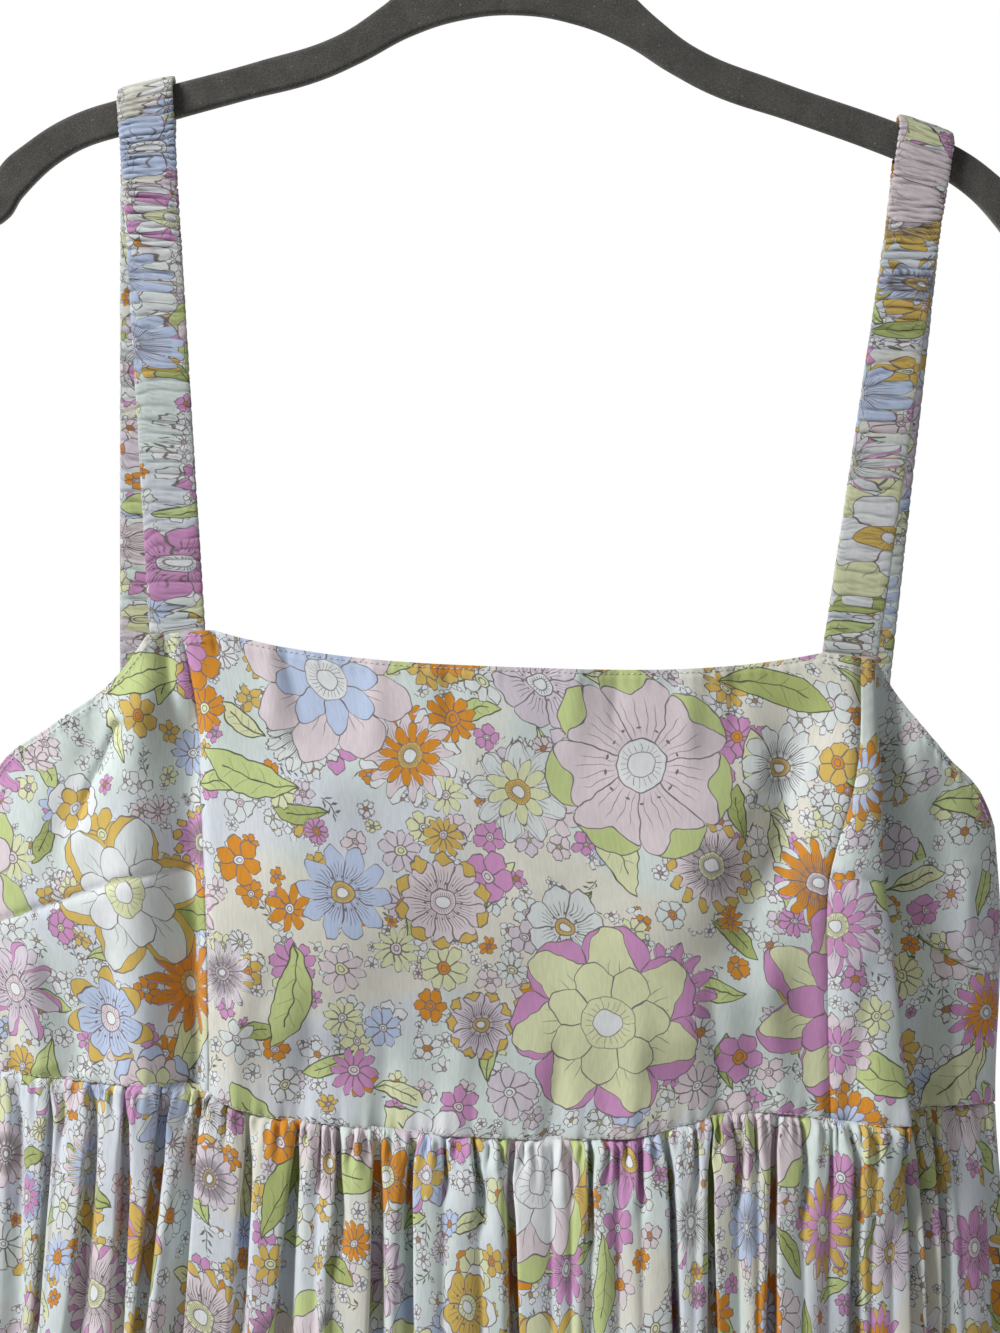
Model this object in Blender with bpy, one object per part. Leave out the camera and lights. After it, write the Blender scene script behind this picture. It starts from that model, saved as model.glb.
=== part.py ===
"""A sleeveless, square-necked maxi dress with ruched straps, hanging on a slim flocked hanger.

The origin is the place inside the hook where a rail carries it. The front faces -Y, and +X is
to the viewer's right. The dress was measured in millimetres, as drops below the underside of
the hanger's arch, so the tables hold millimetres and MM turns them into metres.
"""

import math
from collections import namedtuple

import bmesh
import bpy
import numpy as np

MM = 0.001

# Room left between pieces that touch, and the thickness of each cloth wall
GAP = 0.3 * MM
BODICE_WALL = 1.6 * MM
SKIRT_WALL = 2.0 * MM

# Hook
WIRE_RADIUS = 2.0 * MM
HOOK_RADIUS = 23.0 * MM
HOOK_OPEN_FROM = 205
HOOK_OPEN_TO = -48
HOOK_STEPS = 26
STEM_BEND = 19.2 * MM
STEM_STEPS = 8
STEM_SWING_POWER = 2
STEM_FALL_POWER = 1.6

# Hanger bar, whose half outline runs from the top of the hump round the tip to the arch
ARCH_Z = -105.0 * MM
BAR_THICKNESS = 5.6 * MM
BAR_ROUNDING = 1.4 * MM
Point = namedtuple("Point", "across drop")
BAR_OUTER = (
    Point(0, -34), Point(26, -30), Point(44, -18), Point(59, -5), Point(77, 7.5),
    Point(110, 19.5), Point(163, 36), Point(190, 46), Point(209, 59), Point(217.5, 67),
    Point(222, 77),
)
BAR_TIP = (Point(223, 86), Point(220, 92.5), Point(214.5, 90))
BAR_INNER = (
    Point(208, 80), Point(188, 61.5), Point(163, 51.5), Point(117, 36.5), Point(85, 27),
    Point(66, 18), Point(45, 6), Point(24, -1.5), Point(0, -4.5),
)

# Flattened round of the body: side edges, and how far the front and back stand off the middle
Section = namedtuple("Section", "drop left right front back")
SECTIONS = (
    Section(drop=255, left=-213, right=212, front=13, back=14),
    Section(drop=320, left=-215, right=214, front=27, back=22),
    Section(drop=370, left=-217, right=219, front=35, back=25),
    Section(drop=455, left=-214, right=220, front=33, back=27),
    Section(drop=520, left=-219, right=226, front=45, back=36),
    Section(drop=650, left=-236, right=246, front=55, back=47),
    Section(drop=850, left=-265, right=279, front=63, back=56),
    Section(drop=1100, left=-299, right=314, front=74, back=67),
    Section(drop=1385, left=-329, right=347, front=86, back=80),
)

# Seams between the centre front and the side fronts
Seam = namedtuple("Seam", "drop left right")
SEAMS = (
    Seam(drop=262, left=-133, right=153),
    Seam(drop=290, left=-126, right=152),
    Seam(drop=320, left=-123, right=149),
    Seam(drop=355, left=-119, right=141),
    Seam(drop=400, left=-115, right=142),
    Seam(drop=455, left=-113, right=146),
)

# Top edge of the front: a shallow neckline, a seat for each strap, then the armhole
NECK_MIDDLE = 10
NECK_HALF = 129
NECK_DROP = 273.5
NECK_RISE = 11
STRAP_WIDTH = 24.5
SEAT_FALL = 3
UNDERARM_DROP = 335
ARMHOLE_ACROSS = (0, 0.17, 0.56, 0.92, 1)
ARMHOLE_DOWN_LEFT = (0, 0.24, 0.56, 0.86, 1)
ARMHOLE_DOWN_RIGHT = (0, 0.2, 0.55, 0.86, 1)
BACK_TOP_DROP = 324

# Waist seam: level at the back, and lower between the princess seams of the front
WAIST_DROP = 451
WAIST_ACROSS = (-214, -160, -132, -119, -101, -84, -61, -6, 40, 71, 83, 96, 122, 144, 170, 184, 206, 220)
WAIST_DIPS = (0, 2, 1.6, 2.5, 9, 12.8, 14.2, 16.7, 16.2, 13.7, 10, 6.5, 3.7, 6.2, 6.7, 3.5, 0.4, 0)
HEM_DROP = 1385

# Straps: how far out each lies from the middle of the dress at the hanger and at each end
Strap = namedtuple("Strap", "side top front_end back_end")
STRAPS = (
    Strap(side=-1, top=165, front_end=142, back_end=157),
    Strap(side=1, top=167, front_end=141, back_end=147),
)
DRESS_MIDDLE = 8
STRAP_HALF_THICKNESS = 1.5
STRAP_ROUND = (
    (-1, 0), (-0.86, 0.8), (0, 1), (0.86, 0.8), (1, 0), (0.86, -0.8), (0, -1), (-0.86, -0.8),
)
STRAP_RUFFLES = 54
RUFFLE_RISE = 0.49
RUFFLE_ROOM = 0.75
RUFFLE_EDGE = 0.39
END_NARROWED = 0.4
STRAP_BAR_GAP = 0.8
STRAP_TILT = 0.85
SEAT_ROOM = 0.2
BAR_TURN_STEPS = 8
FRONT_RUN_SHARE = 0.44
CLIMB_PACE = 1.15
SEAT_TILT_FADE = 3
BAR_TILT_FROM = 0.8

# Slow unevenness along a run of like things, as sines added to 1
Sine = namedtuple("Sine", "share pace start")
RUFFLES_UNEVEN = (Sine(0.35, 2.3, 0), Sine(0.2, 0.7, 0))
GATHER_WIDTHS = (Sine(0.3, 2.4, 0), Sine(0.2, 5.1, 1))
GATHER_HEIGHTS = (Sine(0.25, 3.7, 2),)
BROAD_HEIGHTS = (Sine(0.3, 9, 1),)

# Gathers under the waist seam, and the broad folds that they run into lower down
FRONT_GATHERS = 34
BACK_GATHERS = 30
BROAD_FOLDS = 12
BROAD_DRIFT = 0.02
BROAD_DRIFT_DROP = 260
BROAD_SHIFT = 0.25
BROAD_SHIFT_TURNS = 3
BROAD_SHIFT_START = 0.1
SIDE_SEAM_FADE = 0.3
GATHERED_ROWS = (0, 12, 32, 70, 120)
HANGING_ROWS = (200, 320, 470, 630, 785, 932)
Drape = namedtuple("Drape", "below fine broad")
DRAPES = (
    Drape(below=0, fine=1.3, broad=0),
    Drape(below=12, fine=2.6, broad=0),
    Drape(below=45, fine=3.0, broad=1.0),
    Drape(below=110, fine=2.2, broad=4.0),
    Drape(below=260, fine=0, broad=8.0),
    Drape(below=600, fine=0, broad=11.0),
    Drape(below=932, fine=0, broad=13.0),
)

# Largest folds of the bodice: a crest or valley line with a soft flank on each side
Fold = namedtuple("Fold", "top bottom x_top x_bottom left_flank right_flank push")
FOLD_FADE = 26
FRONT_FOLDS = (
    Fold(top=292, bottom=453, x_top=165, x_bottom=176, left_flank=30, right_flank=8, push=8),
    Fold(top=300, bottom=453, x_top=-153, x_bottom=-142, left_flank=17, right_flank=13, push=5),
    Fold(top=310, bottom=453, x_top=-126, x_bottom=-118, left_flank=11, right_flank=6, push=-5),
    Fold(top=300, bottom=352, x_top=-164, x_bottom=-179, left_flank=8, right_flank=8, push=-3),
    Fold(top=300, bottom=375, x_top=128, x_bottom=108, left_flank=14, right_flank=14, push=-3),
    Fold(top=330, bottom=420, x_top=-78, x_bottom=-78, left_flank=38, right_flank=38, push=5),
    Fold(top=330, bottom=420, x_top=85, x_bottom=85, left_flank=36, right_flank=32, push=5),
)
BACK_FOLDS = (
    Fold(top=350, bottom=455, x_top=-135, x_bottom=-125, left_flank=20, right_flank=9, push=4),
    Fold(top=350, bottom=455, x_top=-33, x_bottom=-25, left_flank=24, right_flank=18, push=-3),
    Fold(top=350, bottom=455, x_top=61, x_bottom=55, left_flank=14, right_flank=22, push=4),
    Fold(top=350, bottom=455, x_top=157, x_bottom=167, left_flank=10, right_flank=18, push=-4),
)

# Places of the mesh columns across each bodice panel, closer at its seams
CENTRE_PLACES = np.concatenate([[0, 0.047], np.linspace(0.1, 0.9, 31), [0.951, 1]])
SIDE_PLACES = np.concatenate([np.linspace(0, 0.2, 9), np.linspace(0.26, 1, 12)])
BACK_PLACES = np.linspace(0, 1, 27)
FRONT_ROWS = 10
BACK_ROWS = 7

FRONT = -1
BACK = 1


def through(x, knots, values):
    """Smooth curve through a few values, each slope taken from the neighbours."""
    knots = np.asarray(knots, float)
    values = np.asarray(values, float)
    slopes = np.gradient(values, knots)
    x = np.clip(np.asarray(x, float), knots[0], knots[-1])
    i = np.clip(np.searchsorted(knots, x) - 1, 0, len(knots) - 2)
    span = knots[i + 1] - knots[i]
    t = (x - knots[i]) / span
    start = values[i] * (1 + 2 * t) * (1 - t) ** 2 + slopes[i] * span * t * (1 - t) ** 2
    end = values[i + 1] * t * t * (3 - 2 * t) - slopes[i + 1] * span * t * t * (1 - t)
    return start + end


def column(rows, name):
    return [getattr(row, name) for row in rows]


def read_table(rows, drop, name):
    return through(drop, column(rows, "drop"), column(rows, name))


def ease(t):
    t = np.clip(t, 0, 1)
    return t * t * (3 - 2 * t)


def uneven(number, sines):
    return 1 + sum(s.share * np.sin(s.pace * number + s.start) for s in sines)


def fold_push(x, drop, folds):
    """How far the folds move the cloth outwards at a point, in millimetres."""
    total = np.zeros_like(x * drop)
    for fold in folds:
        t = np.clip((drop - fold.top) / (fold.bottom - fold.top), 0, 1)
        line = fold.x_top + (fold.x_bottom - fold.x_top) * t
        flank = np.where(x < line, fold.left_flank, fold.right_flank)
        across = np.exp(-(((x - line) / flank) ** 2))
        begun = ease((drop - fold.top) / FOLD_FADE + 1)
        ended = 1 - ease((drop - fold.bottom) / FOLD_FADE)
        total = total + fold.push * across * begun * ended
    return total


def wall_points(x, drop, side, wall, wave=0.0):
    """Outer and inner points, in metres, of the wall at x and drop, moved outwards by wave."""
    left = read_table(SECTIONS, drop, "left")
    right = read_table(SECTIONS, drop, "right")
    depth = read_table(SECTIONS, drop, "front" if side == FRONT else "back")
    middle = (left + right) / 2
    half = (right - left) / 2
    u = np.clip((x - middle) / half, -1, 1)
    rise = np.sqrt(1 - u * u)
    nx = u / half
    ny = side * rise / depth
    length = np.hypot(nx, ny)
    nx, ny = nx / length, ny / length
    folds = FRONT_FOLDS if side == FRONT else BACK_FOLDS
    moved = wave + fold_push(x, drop, folds) * rise
    thick = wall / MM
    gap = side * GAP / MM / 2
    outer_y = gap + side * depth * rise + ny * moved
    inner_y = gap + side * (depth - thick) * rise + ny * moved
    outer_x = middle + half * u + nx * moved
    inner_x = middle + (half - thick) * u + nx * moved
    z = ARCH_Z - drop * MM
    outer = np.stack([outer_x * MM, outer_y * MM, z], axis=-1)
    inner = np.stack([inner_x * MM, inner_y * MM, z], axis=-1)
    return outer, inner


def ring_x(drop, side, fractions):
    """The x of points spaced by these fractions of the way round the front or back."""
    left = read_table(SECTIONS, drop, "left")
    right = read_table(SECTIONS, drop, "right")
    depth = read_table(SECTIONS, drop, "front" if side == FRONT else "back")
    angle = np.linspace(math.pi, 0, 400)
    x = (left + right) / 2 + (right - left) / 2 * np.cos(angle)
    y = depth * np.sin(angle)
    travelled = np.concatenate([[0], np.cumsum(np.hypot(np.diff(x), np.diff(y)))])
    return np.interp(fractions, travelled / travelled[-1], x)


def strap_seat(side):
    """Inner and outer x of a strap's seat on the front's top edge."""
    strap = STRAPS[0] if side < 0 else STRAPS[1]
    middle = DRESS_MIDDLE + side * strap.front_end
    return middle - side * STRAP_WIDTH / 2, middle + side * STRAP_WIDTH / 2


def front_top(x):
    """Drop of the front's top edge at x."""
    side = -1 if x < NECK_MIDDLE else 1
    inner, outer = strap_seat(side)
    corner = NECK_DROP - NECK_RISE
    if (x - inner) * side <= 0:
        return NECK_DROP - NECK_RISE * min(1, abs(x - NECK_MIDDLE) / NECK_HALF) ** 3
    if (x - outer) * side <= 0:
        return corner + SEAT_FALL * (x - inner) / (outer - inner)
    edge = float(read_table(SECTIONS, UNDERARM_DROP, "left" if side < 0 else "right"))
    across = (x - outer) / (edge - outer)
    depths = ARMHOLE_DOWN_LEFT if side < 0 else ARMHOLE_DOWN_RIGHT
    down = float(through(across, ARMHOLE_ACROSS, depths))
    return corner + SEAT_FALL + (UNDERARM_DROP - corner - SEAT_FALL) * down


def back_top(x):
    """Drop of the back's top edge, which is straight and falls a little at the underarms."""
    left = float(read_table(SECTIONS, UNDERARM_DROP, "left"))
    right = float(read_table(SECTIONS, UNDERARM_DROP, "right"))
    u = min(1, abs((x - (left + right) / 2) / ((right - left) / 2)))
    return BACK_TOP_DROP + (UNDERARM_DROP - BACK_TOP_DROP) * u**6


def waist(x, side):
    """Drop of the waist seam, which dips across the centre front only."""
    if side == BACK:
        return WAIST_DROP
    return WAIST_DROP + float(through(x, WAIST_ACROSS, WAIST_DIPS))


def panel_x(place, drop, panel):
    """The x at a place from 0 to 1 across a bodice panel, with room left at its seams."""
    left = float(read_table(SECTIONS, drop, "left"))
    right = float(read_table(SECTIONS, drop, "right"))
    room = GAP / MM / 2
    if panel == "back":
        return float(ring_x(drop, BACK, place))
    left_seam = float(read_table(SEAMS, drop, "left"))
    right_seam = float(read_table(SEAMS, drop, "right"))
    if panel == "centre":
        return left_seam + room + (right_seam - left_seam - 2 * room) * place
    bend = math.sin(math.pi / 2 * place)
    if panel == "left":
        return left_seam - room + (left - left_seam + room) * bend
    return right_seam + room + (right - right_seam - room) * bend


def edge_drop(place, panel, edge):
    """Drop at which a column of a panel meets an edge, found by closing in on it."""
    drop = UNDERARM_DROP
    for _ in range(8):
        drop = edge(panel_x(place, drop, panel))
    return drop


def bodice_rows(panel, places, row_count):
    """Outer and inner points of a bodice panel, row by row from its top edge."""
    side = BACK if panel == "back" else FRONT
    top_edge = back_top if panel == "back" else front_top
    tops = [edge_drop(p, panel, top_edge) for p in places]
    ends = [edge_drop(p, panel, lambda x: waist(x, side)) for p in places]
    outer, inner = [], []
    for t in np.linspace(0, 1, row_count):
        drops = np.array([a + (b - a) * t for a, b in zip(tops, ends)])
        x = np.array([panel_x(p, d, panel) for p, d in zip(places, drops)])
        out, inn = wall_points(x, drops, side, BODICE_WALL)
        outer.append(out)
        inner.append(inn)
    return outer, inner


def gather_places(count):
    """Where each gather's ridge, flanks and valley lie, from 0 to 1, and how high each stands.

    The gathers differ in width and height, and the last one closes at 1.
    """
    number = np.arange(count)
    width = uneven(number, GATHER_WIDTHS)
    edges = np.concatenate([[0], np.cumsum(width)]) / width.sum()
    height = uneven(number, GATHER_HEIGHTS)
    places, heights = [], []
    for k in range(count):
        for quarter, up in enumerate((0, 1, 0, -1)):
            places.append(edges[k] + (edges[k + 1] - edges[k]) * quarter / 4)
            heights.append(up * height[k])
    return np.array(places + [1.0]), np.array(heights + [0.0])


def broad_wave(places, below):
    """Broad folds round the skirt, a little uneven, that drift sideways on the way down."""
    drift = BROAD_DRIFT * np.sin(below / BROAD_DRIFT_DROP)
    turn = BROAD_FOLDS * (places + drift * np.sin(math.pi * places) ** 2)
    slow_turn = BROAD_SHIFT_TURNS * places + BROAD_SHIFT_START
    turn = turn + BROAD_SHIFT * np.sin(2 * math.pi * slow_turn)
    return np.sin(2 * math.pi * turn) * uneven(places, BROAD_HEIGHTS)


def skirt_rows(side, gathers):
    """Outer and inner points of half the skirt, with half as many columns below the gathers."""
    places, heights = gather_places(gathers)
    outer, inner = [], []
    for below in GATHERED_ROWS + HANGING_ROWS:
        keep = slice(None) if below <= GATHERED_ROWS[-1] else slice(None, None, 2)
        p, h = places[keep], heights[keep]
        share = below / HANGING_ROWS[-1]
        level = WAIST_DROP + (HEM_DROP - WAIST_DROP) * share
        x = ring_x(level, side, p)
        dip = np.array([waist(v, side) for v in x]) - WAIST_DROP
        drops = level + GAP / MM + dip * (1 - share)
        fine = through(below, column(DRAPES, "below"), column(DRAPES, "fine"))
        broad = through(below, column(DRAPES, "below"), column(DRAPES, "broad"))
        wave = fine * h + broad * broad_wave(p, below)
        wave = wave * np.sin(math.pi * p) ** SIDE_SEAM_FADE
        out, inn = wall_points(x, drops, side, SKIRT_WALL, wave)
        outer.append(out)
        inner.append(inn)
    return outer, inner


def strip_faces(upper, lower):
    """Triangles between two rows of vertices that may differ in number."""
    faces = []
    i = j = 0
    while i < len(upper) - 1 or j < len(lower) - 1:
        next_upper = (i + 1) / (len(upper) - 1)
        next_lower = (j + 1) / (len(lower) - 1)
        if next_lower <= next_upper and j < len(lower) - 1:
            faces.append((upper[i], lower[j], lower[j + 1]))
            j += 1
        else:
            faces.append((upper[i], lower[j], upper[i + 1]))
            i += 1
    return faces


def wall_mesh(name, outer_rows, inner_rows, side):
    """One closed wall between two lofted surfaces, with a rim all round."""
    bm = bmesh.new()
    outer = [[bm.verts.new(p) for p in row] for row in outer_rows]
    inner = [[bm.verts.new(p) for p in row] for row in inner_rows]
    faces = []
    for rows, turned in ((outer, side == BACK), (inner, side == FRONT)):
        for upper, lower in zip(rows, rows[1:]):
            for face in strip_faces(upper, lower):
                faces.append(face[::-1] if turned else face)
    rim_out = outer[0] + [row[-1] for row in outer[1:]]
    rim_out += outer[-1][-2::-1] + [row[0] for row in outer[-2:0:-1]]
    rim_in = inner[0] + [row[-1] for row in inner[1:]]
    rim_in += inner[-1][-2::-1] + [row[0] for row in inner[-2:0:-1]]
    for k in range(len(rim_out)):
        a, b = rim_out[k - 1], rim_out[k]
        c, d = rim_in[k], rim_in[k - 1]
        if side == FRONT:
            faces += [(a, b, c), (a, c, d)]
        else:
            faces += [(c, b, a), (d, c, a)]
    for face in faces:
        bm.faces.new(face)
    mesh = bpy.data.meshes.new(name)
    bm.to_mesh(mesh)
    bm.free()
    return mesh


def bar_top_drop(across):
    """Drop of the bar's upper edge at a distance from the hanger's middle."""
    return float(through(across, column(BAR_OUTER, "across"), column(BAR_OUTER, "drop")))


def strap_line(strap):
    """Centre points of a strap and the tilt of each cross line, from the front end to the back.

    The strap climbs the front, turns over the bar's edge in a half circle and drops behind.
    """
    off_bar = STRAP_BAR_GAP + STRAP_HALF_THICKNESS + RUFFLE_ROOM
    reach = BAR_THICKNESS / MM / 2 + off_bar
    x_top = DRESS_MIDDLE + strap.side * strap.top
    turn_drop = bar_top_drop(abs(x_top)) - off_bar + reach
    reach_x = STRAP_WIDTH / 2
    rise = bar_top_drop(abs(x_top) + reach_x) - bar_top_drop(abs(x_top) - reach_x)
    tilt_top = STRAP_TILT * rise / STRAP_WIDTH * strap.side
    front_x = DRESS_MIDDLE + strap.side * strap.front_end
    back_x = DRESS_MIDDLE + strap.side * strap.back_end
    ends = []
    for side, x, edge in ((FRONT, front_x, front_top), (BACK, back_x, back_top)):
        seat, _ = wall_points(np.array([x]), np.array([edge(x)]), side, BODICE_WALL)
        y = seat[0][1] / MM - side * BODICE_WALL / MM / 2
        tilt = (edge(x + reach_x) - edge(x - reach_x)) / STRAP_WIDTH
        ends.append((x, y, edge(x) - GAP / MM - SEAT_ROOM, tilt))
    points = []
    hanging_count = 2 * STRAP_RUFFLES - BAR_TURN_STEPS
    front_count = round(hanging_count * FRONT_RUN_SHARE)
    back_count = hanging_count - front_count
    for k in range(front_count):
        points.append(strap_point(ends[0], (x_top, -reach, turn_drop, tilt_top), k / front_count))
    for k in range(BAR_TURN_STEPS + 1):
        angle = math.pi * k / BAR_TURN_STEPS
        lift = reach * math.sin(angle)
        points.append((x_top, -reach * math.cos(angle), turn_drop - lift, tilt_top))
    for k in range(back_count - 1, -1, -1):
        points.append(strap_point(ends[1], (x_top, reach, turn_drop, tilt_top), k / back_count))
    return points


def strap_point(end, top, t):
    """A point t of the way up a strap, which lies close to the bar over its last stretch."""
    x = end[0] + (top[0] - end[0]) * t
    y = end[1] + (top[1] - end[1]) * float(ease(t * CLIMB_PACE))
    drop = end[2] + (top[2] - end[2]) * t
    seat_share = 1 - float(ease(t * SEAT_TILT_FADE))
    bar_share = float(ease((t - BAR_TILT_FROM) / (1 - BAR_TILT_FROM)))
    return x, y, drop, end[3] * seat_share + top[3] * bar_share


def strap_mesh(name, strap):
    """A ruched strap as one closed tube of flat rounded cross sections, crests and dips by turns."""
    points = strap_line(strap)
    centres = np.array([p[:3] for p in points])
    heading = np.gradient(centres[:, 1:], axis=0)
    heading /= np.linalg.norm(heading, axis=1)[:, None]
    bm = bmesh.new()
    rings = []
    for k, (x, y, drop, tilt) in enumerate(points):
        crest = (1 if k % 2 else -1) * uneven(k, RUFFLES_UNEVEN)
        inside = 0 < k < len(points) - 1
        thick = STRAP_HALF_THICKNESS + (RUFFLE_RISE * crest if inside else 0)
        wide = STRAP_WIDTH / 2 + (RUFFLE_EDGE * crest if inside else -END_NARROWED)
        out_y, out_drop = -heading[k][1], heading[k][0]
        ring = []
        for across, up in STRAP_ROUND:
            px = x + across * wide
            py = y - up * thick * out_y
            pd = drop - up * thick * out_drop + across * wide * tilt
            ring.append(bm.verts.new((px * MM, py * MM, ARCH_Z - pd * MM)))
        rings.append(ring)
    for a, b in zip(rings, rings[1:]):
        for k in range(len(a)):
            bm.faces.new((a[k - 1], a[k], b[k]))
            bm.faces.new((a[k - 1], b[k], b[k - 1]))
    bm.faces.new(rings[0][::-1])
    bm.faces.new(rings[-1])
    bmesh.ops.recalc_face_normals(bm, faces=bm.faces)
    mesh = bpy.data.meshes.new(name)
    bm.to_mesh(mesh)
    bm.free()
    return mesh


def material(name, color, roughness, metallic=0.0):
    made = bpy.data.materials.new(name)
    made.use_nodes = True
    shader = made.node_tree.nodes["Principled BSDF"]
    shader.inputs["Base Color"].default_value = (*color, 1)
    shader.inputs["Roughness"].default_value = roughness
    shader.inputs["Metallic"].default_value = metallic
    return made


def place(name, data, collection, finish):
    """Puts a mesh or curve in the scene as a named object with its own material."""
    made = bpy.data.objects.new(name, data)
    collection.objects.link(made)
    data.materials.append(material(name + "_finish", *finish))
    return made


def make_hook(collection, finish):
    """A wire hook on the middle line, whose stem bends back under the round part."""
    curve = bpy.data.curves.new("hanger_hook", "CURVE")
    curve.dimensions = "3D"
    curve.bevel_depth = WIRE_RADIUS
    curve.bevel_resolution = 2
    curve.use_fill_caps = True
    centre_z = -HOOK_RADIUS + WIRE_RADIUS
    points = []
    for angle in np.linspace(HOOK_OPEN_FROM, HOOK_OPEN_TO, HOOK_STEPS):
        turn = math.radians(angle)
        points.append((HOOK_RADIUS * math.cos(turn), centre_z + HOOK_RADIUS * math.sin(turn)))
    start_x, start_z = points[-1]
    for left in np.linspace(1, 0, STEM_STEPS)[1:]:
        fallen = STEM_BEND * (1 - left**STEM_FALL_POWER)
        points.append((start_x * left**STEM_SWING_POWER, start_z - fallen))
    hump_top = ARCH_Z - BAR_OUTER[0].drop * MM
    points.append((0, hump_top + GAP))
    spline = curve.splines.new("POLY")
    spline.points.add(len(points) - 1)
    for spot, (x, z) in zip(spline.points, points):
        spot.co = (x, 0, z, 1)
    return place("hanger_hook", curve, collection, finish)


def make_bar(collection, finish):
    """The flocked bar: a flat outline with rounded edges, mirrored about the hook's line."""
    curve = bpy.data.curves.new("hanger_bar", "CURVE")
    curve.dimensions = "2D"
    curve.fill_mode = "BOTH"
    curve.extrude = BAR_THICKNESS / 2 - BAR_ROUNDING
    curve.bevel_depth = BAR_ROUNDING
    curve.bevel_resolution = 1
    curve.offset = -BAR_ROUNDING
    curve.resolution_u = 3
    half = BAR_OUTER + BAR_TIP + BAR_INNER
    mirrored = [Point(-p.across, p.drop) for p in half[-2:0:-1]]
    outline = list(half) + mirrored
    spline = curve.splines.new("BEZIER")
    spline.bezier_points.add(len(outline) - 1)
    spline.use_cyclic_u = True
    for spot, p in zip(spline.bezier_points, outline):
        spot.co = (p.across * MM, ARCH_Z - p.drop * MM, 0)
        spot.handle_left_type = spot.handle_right_type = "AUTO"
    made = place("hanger_bar", curve, collection, finish)
    made.rotation_euler = (math.pi / 2, 0, 0)
    return made


def make_straps(collection, finish):
    for strap in STRAPS:
        name = "strap_left" if strap.side < 0 else "strap_right"
        place(name, strap_mesh(name, strap), collection, finish)


def make_bodice(collection, finish):
    """Centre front, two side fronts and a plain back, each a wall 0.3 mm from its neighbours."""
    panels = (
        ("bodice_centre_front", "centre", CENTRE_PLACES, FRONT_ROWS),
        ("bodice_side_front_left", "left", SIDE_PLACES, FRONT_ROWS),
        ("bodice_side_front_right", "right", SIDE_PLACES, FRONT_ROWS),
        ("bodice_back", "back", BACK_PLACES, BACK_ROWS),
    )
    for name, panel, places, row_count in panels:
        outer, inner = bodice_rows(panel, places, row_count)
        side = BACK if panel == "back" else FRONT
        facing = side if panel != "left" else BACK
        place(name, wall_mesh(name, outer, inner, facing), collection, finish)


def make_skirt(collection, finish):
    for name, side, gathers in (
        ("skirt_front", FRONT, FRONT_GATHERS),
        ("skirt_back", BACK, BACK_GATHERS),
    ):
        outer, inner = skirt_rows(side, gathers)
        place(name, wall_mesh(name, outer, inner, side), collection, finish)


def clear_scene():
    for old in list(bpy.data.objects):
        bpy.data.objects.remove(old, do_unlink=True)


def main():
    clear_scene()
    collection = bpy.data.collections.new("Maxi dress on a hanger")
    bpy.context.scene.collection.children.link(collection)
    cotton = ((0.80, 0.82, 0.76), 0.85)
    flock = ((0.075, 0.07, 0.063), 0.95)
    chrome = ((0.78, 0.78, 0.79), 0.2, 1.0)
    make_hook(collection, chrome)
    make_bar(collection, flock)
    make_straps(collection, cotton)
    make_bodice(collection, cotton)
    make_skirt(collection, cotton)


main()
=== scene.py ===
"""Finished look of a square-necked maxi dress with ruched straps, on a slim flocked hanger.

The dress hangs as in its picture: front towards -Y, +X to the viewer's right, and the origin where
a rail carries the hook. Drops are in millimetres below the underside of the hanger's arch, as the
dress was measured, and MM turns them into metres. The cloth is built as thin shells over the
model's own walls, and its print, weave and thread are node materials.
"""

import math
from collections import namedtuple

import bmesh
import bpy
import numpy as np
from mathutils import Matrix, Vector, noise


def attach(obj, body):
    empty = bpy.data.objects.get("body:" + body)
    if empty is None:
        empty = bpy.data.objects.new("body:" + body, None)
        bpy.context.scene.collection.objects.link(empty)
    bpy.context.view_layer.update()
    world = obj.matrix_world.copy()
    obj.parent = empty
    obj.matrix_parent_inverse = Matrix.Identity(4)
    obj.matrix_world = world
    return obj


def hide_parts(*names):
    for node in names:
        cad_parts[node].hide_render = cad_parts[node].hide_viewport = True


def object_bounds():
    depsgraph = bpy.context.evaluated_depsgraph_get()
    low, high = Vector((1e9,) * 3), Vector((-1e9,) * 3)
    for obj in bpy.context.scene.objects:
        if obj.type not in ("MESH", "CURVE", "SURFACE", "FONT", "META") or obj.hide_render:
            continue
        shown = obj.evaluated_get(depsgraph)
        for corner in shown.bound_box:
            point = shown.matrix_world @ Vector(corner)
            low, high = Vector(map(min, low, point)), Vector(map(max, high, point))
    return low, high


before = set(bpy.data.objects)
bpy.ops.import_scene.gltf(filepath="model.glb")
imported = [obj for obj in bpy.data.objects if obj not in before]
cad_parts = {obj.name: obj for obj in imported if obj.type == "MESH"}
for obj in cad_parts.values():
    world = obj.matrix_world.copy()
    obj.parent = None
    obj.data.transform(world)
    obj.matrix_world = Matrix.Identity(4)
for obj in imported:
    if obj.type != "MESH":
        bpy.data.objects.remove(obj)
cad_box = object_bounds()

bl_info = {
    "name": "Maxi dress on a hanger",
    "version": (1, 0, 0),
    "blender": (4, 5, 0),
    "location": "View3D > Sidebar > Dress",
    "description": "Builds the cloth, stitching and hanger of a gathered maxi dress",
    "category": "Object",
}

MM = 0.001
FRONT = -1
BACK = 1

# A share or width that changes from its start by its gain, over a length from a drop on
Ramp = namedtuple("Ramp", "start gain drop over")

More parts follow.
